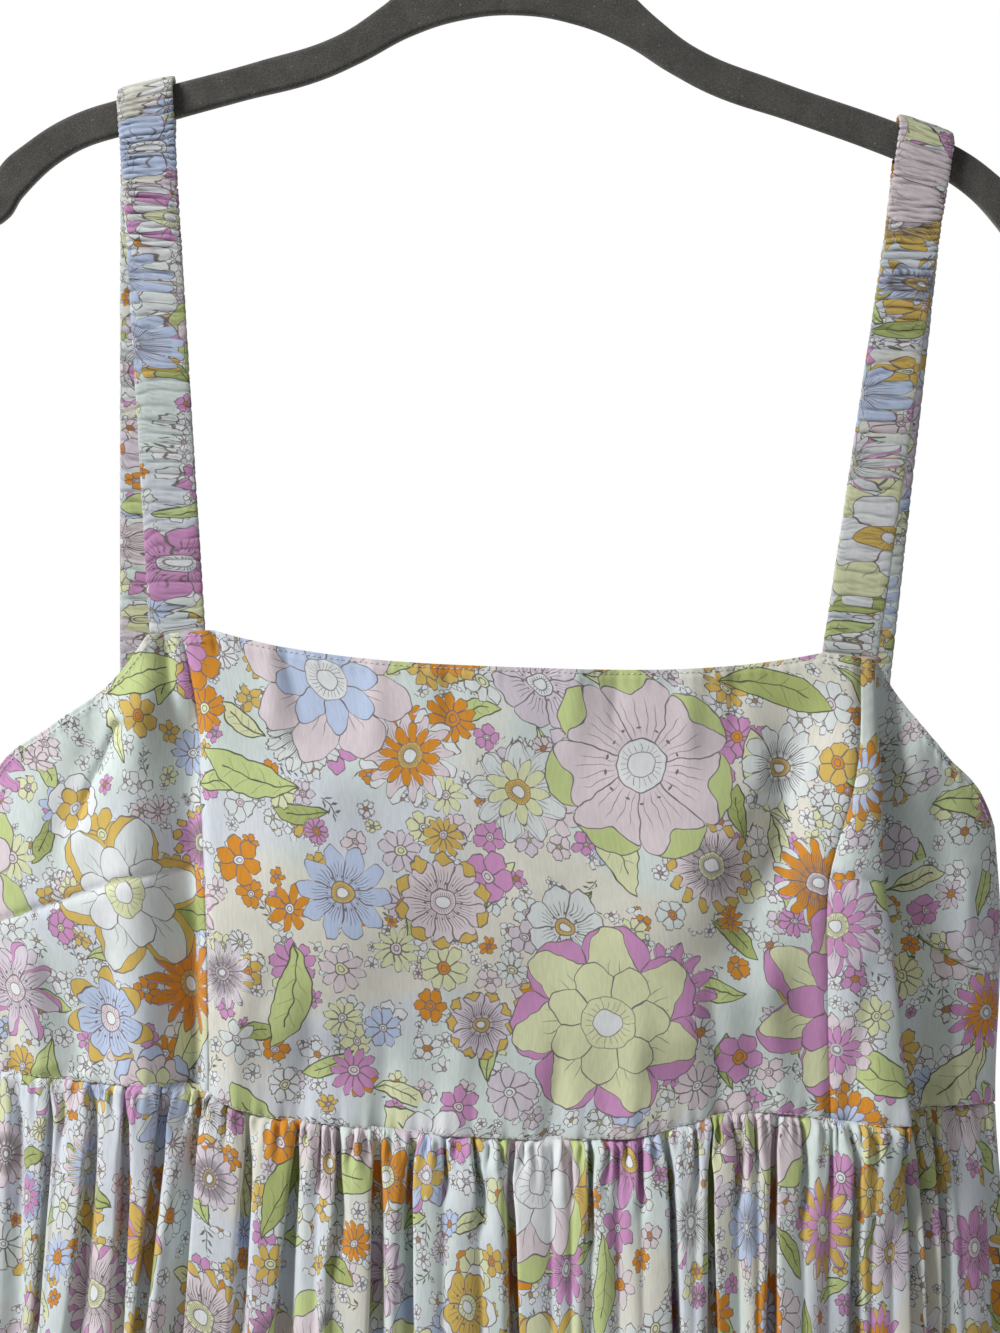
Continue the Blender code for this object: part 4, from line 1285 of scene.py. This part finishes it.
BodicePanel = namedtuple("BodicePanel", "panel node columns rows print_at cut_size cut_area")
BODICE_PANELS = (
    BodicePanel("centre", "bodice_centre_front", 230, 138, (0.31, 0.12), (0.30, 0.21), 0.052),
    BodicePanel("left", "bodice_side_front_left", 120, 138, (1.02, 0.47), (0.125, 0.2), 0.018),
    BodicePanel("right", "bodice_side_front_right", 150, 138, (1.55, 0.83), (0.13, 0.2), 0.018),
    BodicePanel("back", "bodice_back", 230, 70, (2.2, 0.3), (0.47, 0.135), 0.061),
)


def bodice_flat(spec, x, drop, points):
    """Each point's place on the flat cloth: distances along the rows and the drop."""
    flat_x = travelled(points, 1)
    flat_y = -(drop - WAIST_DROP) * MM
    if spec.panel == "left":
        flat_x = -flat_x
    if spec.panel == "right":
        flat_x = flat_x + deep_fold(x, drop)[2] * MM
    if spec.panel in ("left", "right"):
        past_dart = drop - dart_drop(x)
        from_seam = np.abs(flat_x)
        taken = DART_TAKEN_UP * MM * np.clip(from_seam / 0.09, 0, 1.3)
        flat_y = flat_y - np.where(past_dart > 0, taken, 0)
    return np.stack([flat_x + spec.print_at[0], flat_y + spec.print_at[1]], axis=-1)


class DRESS_OT_bodice(bpy.types.Operator):
    """Build the four panels of the bodice"""

    bl_idname = "dress.bodice"
    bl_label = "Bodice"

    def execute(self, context):
        sizes = context.scene.dress_sizes
        for spec in BODICE_PANELS:
            x, drop = bodice_grid(spec.panel, spec.columns, spec.rows)
            points = on_back(x, drop) if spec.panel == "back" else on_front(x, drop)
            flat = bodice_flat(spec, x, drop, points)
            facing = spec.panel in ("centre", "right")
            mesh = cloth_mesh(spec.node + "_cloth", points, flat, facing)
            piece = put_in_scene(mesh.name, mesh, printed_cotton())
            thicken(piece, sizes.cloth_thickness)
            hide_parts(spec.node)
        return {"FINISHED"}


def valley_places(valleys):
    """Where each valley lies on the flat cloth, from 0 to 1 across half the skirt.

    A deep valley hides more cloth in its walls, so it takes up more of the width.
    """
    x = np.array([DRAPE_LEFT, *(v.x for v in valleys), DRAPE_RIGHT])
    depth = np.array([0, *(v.depth for v in valleys), 0])
    taken = np.diff(x) + VALLEY_TAKES_UP * (depth[:-1] + depth[1:])
    return (np.cumsum(taken) / taken.sum())[:-1]


def broad_wave(places, below):
    """Broad folds round the skirt, a little uneven, that drift sideways on the way down."""
    drift = BROAD_DRIFT * np.sin(below / BROAD_DRIFT_DROP)
    turn = BROAD_FOLDS * (places + drift * np.sin(math.pi * places) ** 2)
    turn = turn + BROAD_SHIFT * np.sin(
        2 * math.pi * (BROAD_SHIFT_TURNS * places + BROAD_SHIFT_START)
    )
    return np.sin(2 * math.pi * turn) * uneven(places, BROAD_HEIGHTS)


def mid_wave(places, below):
    """Folds between the gathers and the broad folds, uneven in width and length."""
    turn = MID_FOLDS * places + 0.45 * np.sin(2 * math.pi * 5 * places + 1)
    turn = turn + 0.12 * np.sin(below / 170 + 9 * places)
    fading = 0.62 + 0.38 * np.sin(21 * places + below / 210)
    return np.sin(2 * math.pi * turn) * fading


def skirt_wave(places, below, valleys, at):
    """Outward wave and sideways lean of one row of the skirt, by place on the flat cloth."""
    valley, bulge, pucker, mid, broad = (
        float(read_table(DRAPES, below, name, "below"))
        for name in ("valley", "bulge", "pucker", "mid", "broad")
    )
    sunk = np.zeros_like(places)
    lean = np.zeros_like(places)
    for v, middle in zip(valleys, at):
        faded = (below - VALLEY_FADES_FROM * v.reach) / (VALLEY_FADES_OVER * v.reach)
        lasting = 1 - float(ease(faded))
        deep = valley * v.depth * lasting
        half = (0.55 * valley * v.depth + VALLEY_HALF) * (1 + below / 300) / SKIRT_CUT_WIDTH
        off = (places - middle) / half
        off = np.where(off * v.lean > 0, off / GENTLE_SIDE, off)
        sunk = np.maximum(sunk, deep * ease(1.12 * (1 - np.abs(off))))
        edge = np.exp(-(((off + v.lean * 0.95) / 0.55) ** 2))
        lean = lean + v.lean * LEAN_OUT * v.depth * lasting * min(1, below / LEAN_BEGINS) * edge
    ends = np.array([0, *at, 1])
    k = np.clip(np.searchsorted(ends, places, side="right") - 1, 0, len(ends) - 2)
    width = ends[k + 1] - ends[k]
    within = (places - ends[k]) / width
    round_top = bulge * np.sin(math.pi * within) ** 0.8 * np.minimum(1, width / FULL_BULGE_WIDTH)
    turn = math.pi * PUCKERS * places + 0.9 * np.sin(37 * places)
    small = 2.3 * np.abs(np.sin(turn)) - 1.5
    small = small * (0.75 + 0.45 * np.sin(53 * places + 2))
    small = small + 0.45 * np.sin(2 * math.pi * FINE_PUCKERS * places + 2)
    wave = 0.33 * valley - sunk + round_top + pucker * small
    wave = wave + mid * mid_wave(places, below) + broad * broad_wave(places, below)
    fading = np.sin(math.pi * np.clip(places, 0, 1)) ** 0.3
    return wave * fading, lean * fading


def round_x(drop, side, fractions):
    """The x of points at these fractions of the way round the front or back."""
    left = float(read_table(SECTIONS, drop, "left"))
    right = float(read_table(SECTIONS, drop, "right"))
    depth = float(read_table(SECTIONS, drop, "front" if side == FRONT else "back"))
    angle = np.linspace(math.pi, 0, 700)
    x = (left + right) / 2 + (right - left) / 2 * np.cos(angle)
    y = depth * np.sin(angle)
    gone = np.concatenate([[0], np.cumsum(np.hypot(np.diff(x), np.diff(y)))])
    return np.interp(fractions, gone / gone[-1], x)


def carried(below):
    """Share of the bodice's folds that still shows in the skirt, by distance below its seam."""
    return 1 - float(ease(below / CARRIED_BELOW))


def skirt_points(side, valleys, columns):
    """Points of half the skirt and their places on the flat cloth.

    Along each row the cloth keeps its length: where a gather's side is steep, the cloth moves
    less sideways, so the print runs true over each ridge and is lost in the valleys.
    """
    steps = np.concatenate([
        (-SKIRT_TUCKED, -0.3), np.arange(0.5, 12, 1.2), np.arange(12, 42, 2.6),
        np.arange(42, 120, 5), np.linspace(120, SKIRT_LENGTH - HEM_TURNED, 35),
        (SKIRT_LENGTH - 2, SKIRT_LENGTH),
    ])
    places = np.linspace(0, 1, columns)
    at = valley_places(valleys)
    folds = FRONT_FOLDS if side == FRONT else BACK_FOLDS
    cloth_step = SKIRT_CUT_WIDTH / (columns - 1)
    slide = np.zeros(columns)
    rows = []
    for below in (LOW_ROW, *steps):
        wave, lean = skirt_wave(places, max(0, below), valleys, at)
        wave = wave * float(ramp(below, SKIRT_OPENS))
        flat = np.sqrt(np.maximum(cloth_step**2 - np.diff(wave) ** 2, (STEEPEST * cloth_step) ** 2))
        fractions = np.concatenate([[0], np.cumsum(flat)])
        share = max(0, below) / SKIRT_LENGTH
        level = WAIST_DROP + below
        wanted = [v.x + (v.x_low - v.x) * max(0, below) / LOW_ROW for v in valleys]
        x = round_x(level, side, fractions / fractions[-1])
        off_line = np.interp(places, [0, *at, 1], [0, *(wanted - np.interp(at, places, x)), 0])
        following = 1 - float(ease((below - LOW_ROW) / LINE_KEPT_BELOW))
        if below <= LOW_ROW:
            slide = off_line
        x = x + lean + (off_line if below <= LOW_ROW else slide * following)
        above = fold_push(x, np.full(columns, float(WAIST_DROP)), folds)
        if side == FRONT:
            pushed, aside, _ = deep_fold(x, WAIST_DROP)
            above, x = above + pushed, x + aside * carried(below)
        wave = wave + above * carried(below)
        dip = waist(x, side) - WAIST_DROP
        drop = level + dip * (1 - share)
        tucked = -SKIRT_TUCK * float(ramp(below, SKIRT_UNTUCKS))
        turned_up = EDGE_FOLDED if below > SKIRT_LENGTH - HEM_TURNED else 0
        rows.append(cloth_point(x, drop, side, wave + tucked + turned_up))
    points = np.stack(rows[1:])
    flat_x = np.broadcast_to(places * SKIRT_CUT_WIDTH * MM, points.shape[:2])
    flat_y = np.broadcast_to(-steps[:, None] * MM, points.shape[:2])
    return points, np.stack([flat_x, flat_y], axis=-1)


class DRESS_OT_skirt(bpy.types.Operator):
    """Build the front and back of the gathered skirt"""

    bl_idname = "dress.skirt"
    bl_label = "Skirt"

    def execute(self, context):
        sizes = context.scene.dress_sizes
        for node, side, valleys, shift in (
            ("skirt_front", FRONT, FRONT_VALLEYS, (3.1, 1.4)),
            ("skirt_back", BACK, BACK_VALLEYS, (4.6, 2.9)),
        ):
            points, flat = skirt_points(side, valleys, SKIRT_COLUMNS)
            mesh = cloth_mesh(node + "_cloth", points, flat + np.array(shift), side == FRONT)
            piece = put_in_scene(mesh.name, mesh, printed_cotton())
            thicken(piece, sizes.cloth_thickness)
            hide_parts(node)
        return {"FINISHED"}


def bar_top_drop(across):
    """Drop of the bar's upper edge at a distance from the hanger's middle."""
    return float(through(across, [p.across for p in BAR_OUTER], [p.drop for p in BAR_OUTER]))


def strap_line(strap, front_count, turn_count, back_count):
    """Centre points of a strap with the tilt of each cross line, from the front to the back."""
    off_bar = STRAP_BAR_GAP + STRAP_HALF_THICKNESS + STRAP_ROOM
    reach = BAR_THICKNESS / 2 + off_bar
    x_top = DRESS_MIDDLE + strap.side * strap.top
    turn_drop = bar_top_drop(abs(x_top)) - off_bar + reach
    half = STRAP_WIDTH / 2
    rise = bar_top_drop(abs(x_top) + half) - bar_top_drop(abs(x_top) - half)
    tilt_top = STRAP_TILT * rise / STRAP_WIDTH * strap.side
    ends = []
    for side, end, edge in ((FRONT, strap.front_end, front_top), (BACK, strap.back_end, back_top)):
        x = DRESS_MIDDLE + strap.side * end
        drop = float(edge(x))
        y = float(body_round(np.array([x]), np.array([drop]), side)[1][0]) - side * STRAP_BEHIND
        tilt = float(edge(x + half) - edge(x - half)) / STRAP_WIDTH
        ends.append((x, y, drop + STRAP_SEWN_IN, tilt))
    points = [strap_point(ends[0], (x_top, -reach, turn_drop, tilt_top), k / front_count)
              for k in range(front_count)]
    for k in range(turn_count + 1):
        angle = math.pi * k / turn_count
        drop = turn_drop - reach * math.sin(angle)
        points.append((x_top, -reach * math.cos(angle), drop, tilt_top))
    points += [strap_point(ends[1], (x_top, reach, turn_drop, tilt_top), k / back_count)
               for k in range(back_count - 1, -1, -1)]
    return np.array(points)


def strap_point(end, top, t):
    """A point t of the way up a strap, which lies close to the bar over its last stretch."""
    x = end[0] + (top[0] - end[0]) * t
    y = end[1] + (top[1] - end[1]) * float(ease(t * 1.15))
    drop = end[2] + (top[2] - end[2]) * t
    tilt = end[3] * (1 - float(ease(t * 3))) + top[3] * float(ease((t - 0.8) / 0.2))
    return x, y, drop, tilt


def crease_number(gone, tight):
    """How many creases lie before each distance along a strap: close together where it's tight."""
    period = RUCHE_SPACING - RUCHE_CLOSER * tight
    return np.concatenate([[0], np.cumsum(np.diff(gone) / period[1:])])


def ruche(number, across, face, seed, tight):
    """Height of the ruched cloth in millimetres, creases taken up so far, and painted shade.

    The creases bend a little across the band, and some reach only part of the way. They're deep
    and thin where the elastic is tight, and shallow lower down.
    """
    wander = noise.noise(Vector((number / 3.3, across * 1.1 * face, seed)))
    turn = number + 0.7 * wander + 0.12 * across * across
    near = turn - round(turn)
    part = 0.55 + 1.2 * noise.noise(Vector((number * 1.7, across * 1.3 * face + 9, seed + 5)))
    part = min(1.0, max(0.1, part))
    valley = math.exp(-((near / (0.10 + 0.04 * tight)) ** 2)) * part
    small = turn * 2.37 + 1.3 * noise.noise(Vector((number / 2, across * 2.2, seed + 11)))
    thin = math.exp(-(((small - round(small)) / 0.2) ** 2))
    thin *= max(0.0, noise.noise(Vector((number / 2.2, across * 1.8, seed + 17))) + 0.3)
    round_top = abs(math.sin(math.pi * turn)) ** 0.7
    low = noise.noise(Vector((number / 2.6, across * 0.8, seed + 23)))
    taken = round(turn) + 0.5 * math.tanh(near / 0.1)
    size = 0.6 + 0.4 * tight
    height = size * (0.4 * round_top + 0.35 * low - 0.7 * thin) - (0.8 + 0.9 * tight) * valley
    # The third value is painted shade: a little over the whole strap, more in its creases
    return height, taken, STRAP_PAINTED_SHADE + (0.55 + 0.25 * tight) * max(valley, 0.8 * thin)


def strap_mesh(strap):
    """A ruched strap as one closed tube, tight over the bar and looser towards its ends."""
    line = strap_line(strap, STRAP_RUN_ROWS, STRAP_TURN_ROWS, STRAP_RUN_ROWS)
    centres = line[:, :3]
    heading = np.gradient(centres[:, 1:], axis=0)
    heading /= np.linalg.norm(heading, axis=1)[:, None]
    gone = np.concatenate([[0], np.cumsum(np.linalg.norm(np.diff(centres, axis=0), axis=1))])
    from_bar = np.abs(gone - gone[len(gone) // 2])
    tight = 1 - ease((from_bar - STRAP_TIGHT_TO) / STRAP_LOOSENS_OVER)
    number = crease_number(gone, tight)
    rings = np.zeros((len(line), STRAP_AROUND + 1, 3))
    flat = np.zeros((len(line), STRAP_AROUND + 1, 2))
    # Painted shade for each point, which darkens the cloth's colour in the creases
    shade = np.zeros((len(line), STRAP_AROUND + 1))
    seed = 31.0 + strap.side * 3.0
    for i, (x, y, drop, tilt) in enumerate(line):
        out_y, out_drop = -heading[i][1], heading[i][0]
        loose = float(ramp(from_bar[i], STRAP_FLATTENED))
        for k in range(STRAP_AROUND + 1):
            angle = 2 * math.pi * (k % STRAP_AROUND) / STRAP_AROUND
            c, s = math.cos(angle), math.sin(angle)
            across = math.copysign(abs(c) ** STRAP_SQUARE_ACROSS, c)
            up = math.copysign(abs(s) ** STRAP_SQUARE_UP, s)
            face = 1 if s > 0 else -1
            raised, taken, shade[i, k] = ruche(number[i], across, face, seed, tight[i])
            raised *= loose
            wide = STRAP_WIDTH / 2 - 0.55 + 0.5 * raised
            thick = STRAP_HALF_THICKNESS - 0.05 + 0.8 * raised
            px = x + across * wide
            py = y - up * thick * out_y
            pd = drop - up * thick * out_drop + across * wide * tilt
            rings[i, k] = px * MM, py * MM, (ARCH_Z - pd) * MM
            flat[i, k] = (
                k / STRAP_AROUND * STRAP_FLAT_ROUND * STRAP_WIDTH * MM,
                (gone[i] * 1.06 + CREASE_TAKES * taken) * MM,
            )
    return rings, flat, shade


class DRESS_OT_straps(bpy.types.Operator):
    """Build the two ruched elastic straps"""

    bl_idname = "dress.straps"
    bl_label = "Straps"

    def execute(self, context):
        for strap, shift in zip(STRAPS, ((5.9, 0.4), (6.6, 1.1))):
            points, flat, shade = strap_mesh(strap)
            mesh = cloth_mesh(strap.name + "_cloth", points, flat + np.array(shift), shade=shade)
            close_tube(mesh)
            piece = put_in_scene(mesh.name, mesh, printed_cotton())
            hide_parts(strap.name)
        return {"FINISHED"}


def close_tube(mesh):
    """Joins the strap's long edges and turns its faces outwards."""
    bm = bmesh.new()
    bm.from_mesh(mesh)
    bmesh.ops.remove_doubles(bm, verts=bm.verts, dist=0.01 * MM)
    ends = [e for e in bm.edges if e.is_boundary]
    bmesh.ops.holes_fill(bm, edges=ends, sides=0)
    bmesh.ops.recalc_face_normals(bm, faces=bm.faces)
    bm.to_mesh(mesh)
    bm.free()
    mesh.shade_smooth()


def stitch_run(points, outward, length, gap, width):
    """Places of single stitches along a line of points, each as its ends and outward side."""
    gone = np.concatenate([[0], np.cumsum(np.linalg.norm(np.diff(points, axis=0), axis=1))])
    made = []
    at = gap
    while at + length < gone[-1]:
        ends = [np.array([np.interp(d, gone, points[:, a]) for a in range(3)])
                for d in (at, at + length / 2, at + length)]
        side = np.array([np.interp(at + length / 2, gone, outward[:, a]) for a in range(3)])
        made.append((ends, side / np.linalg.norm(side), width))
        at += length + gap
    return made


def stitch_mesh(name, stitches):
    """Each stitch as a small six-sided thread that dives into the cloth at both ends."""
    bm = bmesh.new()
    for ends, out, width in stitches:
        along = ends[2] - ends[0]
        along = along / np.linalg.norm(along)
        across = np.cross(along, out)
        rings = []
        for point, lift, size in (
            (ends[0], STITCH_DIVES, STITCH_THIN),
            (ends[0] * 0.75 + ends[2] * 0.25, STITCH_STANDS, STITCH_FULL),
            (ends[0] * 0.25 + ends[2] * 0.75, STITCH_STANDS, STITCH_FULL),
            (ends[2], STITCH_DIVES, STITCH_THIN),
        ):
            ring = []
            for k in range(STITCH_SIDES):
                turn = 2 * math.pi * k / STITCH_SIDES
                off = across * math.cos(turn) + out * (math.sin(turn) * STITCH_FLAT)
                ring.append(bm.verts.new(point + out * lift * width + off * width / 2 * size))
            rings.append(ring)
        for a, b in zip(rings, rings[1:]):
            for k in range(STITCH_SIDES):
                bm.faces.new((a[k - 1], a[k], b[k], b[k - 1]))
        bm.faces.new(rings[0][::-1])
        bm.faces.new(rings[-1])
    bmesh.ops.recalc_face_normals(bm, faces=bm.faces)
    mesh = bpy.data.meshes.new(name)
    bm.to_mesh(mesh)
    bm.free()
    mesh.shade_smooth()
    return mesh


def line_on_front(x, drop):
    """Points just above the front's cloth along a line, and their outward directions."""
    out = on_front(x, drop, 1.0) - on_front(x, drop)
    return on_front(x, drop, STITCH_RAISED), out


def line_on_back(x, drop):
    out = on_back(x, drop, 1.0) - on_back(x, drop)
    return on_back(x, drop, STITCH_RAISED), out


def line_on_hem(side, valleys):
    """Points just above the skirt where its hem is sewn, and their outward directions."""
    points, _ = skirt_points(side, valleys, SKIRT_COLUMNS)
    sewn, below = points[-3, 1:-1], points[-2, 1:-1]
    out = -side * np.cross(below - sewn, np.gradient(sewn, axis=0))
    out = out / np.linalg.norm(out, axis=1)[:, None]
    return sewn + STITCH_RAISED * MM * out, out


def along_edge(start, end, edge, offset):
    """A line at an even distance inside an edge."""
    x = np.linspace(start, end, 400)
    drop = edge(x)
    slope = np.gradient(drop, x)
    length = np.hypot(1, slope)
    return x - slope / length * offset, drop + offset / length


class DRESS_OT_stitching(bpy.types.Operator):
    """Sew the stitch rows at the neckline, armholes, straps, waist, back edge and hem"""

    bl_idname = "dress.stitching"
    bl_label = "Stitching"

    def execute(self, context):
        sizes = context.scene.dress_sizes
        size = (sizes.stitch_length, sizes.stitch_gap, sizes.thread_width)
        left_inner, left_outer = strap_seat(-1)
        right_inner, right_outer = strap_seat(1)
        left_edge = float(read_table(SECTIONS, UNDERARM_DROP, "left"))
        right_edge = float(read_table(SECTIONS, UNDERARM_DROP, "right"))
        round_ends = (left_edge + 3, right_edge - 3)
        runs = (
            ("neckline_stitches", [
                line_on_front(*along_edge(left_inner + 1, right_inner - 1, front_top, NECK_ROW)),
            ]),
            ("armhole_stitches", [
                line_on_front(*along_edge(a, b, front_top, ARMHOLE_ROW))
                for a, b in ((left_edge + 2, left_outer - 1), (right_outer + 1, right_edge - 2))
            ]),
            ("strap_seat_stitches", [
                line_on_front(*along_edge(a, b, front_top, offset))
                for a, b in ((left_outer, left_inner), (right_inner, right_outer))
                for offset in STRAP_SEAT_ROWS
            ]),
            ("waist_stitches", [
                line_on_front(*along_edge(*round_ends, front_waist, WAIST_ROW_FRONT)),
                line_on_back(*along_edge(*round_ends, back_waist, WAIST_ROW_BACK)),
            ]),
            ("back_edge_stitches", [
                line_on_back(*along_edge(*round_ends, back_top, BACK_EDGE_ROW)),
            ]),
            ("hem_stitches", [
                line_on_hem(FRONT, FRONT_VALLEYS), line_on_hem(BACK, BACK_VALLEYS),
            ]),
        )
        for name, lines in runs:
            stitches = []
            for points, out in lines:
                stitches += stitch_run(points, out, *size)
            mesh = stitch_mesh(name, stitches)
            put_in_scene(name, mesh, sewing_thread())
        return {"FINISHED"}


def bar_outline():
    half = BAR_OUTER + BAR_TIP + BAR_INNER
    return list(half) + [Point(-p.across, p.drop) for p in half[-2:0:-1]]


class DRESS_OT_hanger(bpy.types.Operator):
    """Build the flocked bar and the wire hook"""

    bl_idname = "dress.hanger"
    bl_label = "Hanger"

    def execute(self, context):
        sizes = context.scene.dress_sizes
        curve = bpy.data.curves.new("flocked_bar", "CURVE")
        curve.dimensions = "2D"
        curve.fill_mode = "BOTH"
        curve.extrude = (BAR_THICKNESS / 2 - BAR_ROUNDING) * MM
        curve.bevel_depth = BAR_ROUNDING * MM
        curve.bevel_resolution = 4
        curve.offset = -BAR_ROUNDING * MM
        curve.resolution_u = 10
        spline = curve.splines.new("BEZIER")
        outline = bar_outline()
        spline.bezier_points.add(len(outline) - 1)
        spline.use_cyclic_u = True
        for spot, p in zip(spline.bezier_points, outline):
            spot.co = (p.across * MM, (ARCH_Z - p.drop) * MM, 0)
            spot.handle_left_type = spot.handle_right_type = "AUTO"
        bar = bpy.data.objects.new("flocked_bar", curve)
        context.scene.collection.objects.link(bar)
        bar.rotation_euler = (math.pi / 2, 0, 0)
        curve.materials.append(flock())
        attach(bar, "root")
        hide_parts("hanger_bar")

        wire = bpy.data.curves.new("wire_hook", "CURVE")
        wire.dimensions = "3D"
        wire.bevel_depth = sizes.wire_radius
        wire.bevel_resolution = 6
        wire.use_fill_caps = True
        centre = -sizes.hook_radius + sizes.wire_radius
        points = []
        for angle in np.linspace(HOOK_FROM, HOOK_TO, HOOK_POINTS):
            x = sizes.hook_radius * math.cos(math.radians(angle))
            z = centre + sizes.hook_radius * math.sin(math.radians(angle))
            points.append((x, z))
        start_x, start_z = points[-1]
        for left in np.linspace(1, 0, SHANK_POINTS)[1:]:
            points.append((start_x * left**2, start_z - SHANK_FALL * MM * (1 - left**1.6)))
        points.append((0, (ARCH_Z - BAR_OUTER[0].drop - 3) * MM))
        spline = wire.splines.new("POLY")
        spline.points.add(len(points) - 1)
        for k, (spot, (x, z)) in enumerate(zip(spline.points, points)):
            spot.co = (x, 0, z, 1)
            spot.radius = (0.55, 0.85, 1)[min(k, 2)]
        put_in_scene("wire_hook", wire, hook_wire())
        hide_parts("hanger_hook")
        return {"FINISHED"}


FLOOR_RADIUS = 2.5
FLOOR_BACK = 0.2
FLOOR_BELOW = 0.03


class DRESS_OT_stage(bpy.types.Operator):
    """Set up the floor, lights and camera"""

    bl_idname = "dress.stage"
    bl_label = "Stage"

    def execute(self, context):
        scene = context.scene
        stage = scene.dress_stage
        bm = bmesh.new()
        bmesh.ops.create_circle(bm, cap_ends=True, segments=96, radius=FLOOR_RADIUS)
        mesh = bpy.data.meshes.new("floor")
        bm.to_mesh(mesh)
        bm.free()
        floor = bpy.data.objects.new("floor", mesh)
        floor.location = (0, FLOOR_BACK, cad_box[0].z - FLOOR_BELOW)
        scene.collection.objects.link(floor)
        pale, _, _ = new_finish("Pale floor", 0.9, (0.86, 0.86, 0.85))
        mesh.materials.append(pale)

        target = Vector((0, 0, -0.42))
        for name, place, size, power in (
            ("key", (-1.85, -1.0, 1.0), 0.8, stage.key_power),
            ("fill", (1.9, -1.6, -0.2), 1.8, stage.fill_power),
            ("back", (0.9, 2.2, 0.7), 1.8, stage.key_power * 0.8),
            ("low_front", (0.3, -2.4, -1.6), 2.0, stage.fill_power * 0.6),
        ):
            lamp = bpy.data.lights.new(name, "AREA")
            lamp.shape = "SQUARE"
            lamp.size = size
            lamp.energy = power
            lit = bpy.data.objects.new(name, lamp)
            lit.location = place
            aim = target - Vector(place)
            lit.rotation_mode = "QUATERNION"
            lit.rotation_quaternion = aim.to_track_quat("-Z", "Y")
            scene.collection.objects.link(lit)

        world = bpy.data.worlds.new("Studio")
        scene.world = world
        world.use_nodes = True
        tree = world.node_tree
        bench = NodeBench(tree)
        seen = tree.nodes.new("ShaderNodeLightPath").outputs["Is Camera Ray"]
        shade = tree.nodes["Background"]
        shade.inputs["Color"].default_value = (1, 1, 1, 1)
        bench.feed(shade.inputs["Strength"], bench.smooth(seen, 0.0, 1.0, stage.sky, 1.0))

        lens = bpy.data.cameras.new("camera")
        lens.sensor_fit = "HORIZONTAL"
        lens.sensor_width = 36
        lens.lens = 36 / stage.view_width * stage.distance
        lens.clip_start, lens.clip_end = 0.05, 50
        camera = bpy.data.objects.new("camera", lens)
        camera.location = (0.002, -0.015 - stage.distance, -0.3784)
        camera.rotation_euler = (math.pi / 2, stage.tilt, 0)
        scene.collection.objects.link(camera)
        scene.camera = camera
        scene.view_settings.view_transform = "Standard"
        return {"FINISHED"}


class DRESS_PT_pieces(bpy.types.Panel):
    """Lists the dress's pieces, sizes and colours"""

    bl_label = "Dress"
    bl_idname = "DRESS_PT_pieces"
    bl_space_type = "VIEW_3D"
    bl_region_type = "UI"
    bl_category = "Dress"

    def draw(self, context):
        layout = self.layout
        for group in (
            context.scene.dress_sizes, context.scene.dress_colours, context.scene.dress_stage,
        ):
            column = layout.column()
            for name in group.__annotations__:
                column.prop(group, name)
        for step in OPERATORS:
            layout.operator(step.bl_idname)


OPERATORS = (
    DRESS_OT_hanger, DRESS_OT_bodice, DRESS_OT_straps, DRESS_OT_skirt, DRESS_OT_stitching,
    DRESS_OT_stage,
)
GROUPS = (
    ("dress_sizes", DressSizes), ("dress_colours", DressColours), ("dress_stage", DressStage),
)


def register():
    for name, group in GROUPS:
        bpy.utils.register_class(group)
        setattr(bpy.types.Scene, name, bpy.props.PointerProperty(type=group))
    for made in (*OPERATORS, DRESS_PT_pieces):
        bpy.utils.register_class(made)


def unregister():
    for made in (DRESS_PT_pieces, *reversed(OPERATORS)):
        bpy.utils.unregister_class(made)
    for name, group in reversed(GROUPS):
        delattr(bpy.types.Scene, name)
        bpy.utils.unregister_class(group)


def main():
    register()
    bpy.ops.dress.hanger()
    bpy.ops.dress.bodice()
    bpy.ops.dress.straps()
    bpy.ops.dress.skirt()
    bpy.ops.dress.stitching()
    bpy.ops.dress.stage()


if __name__ == "__main__":
    main()
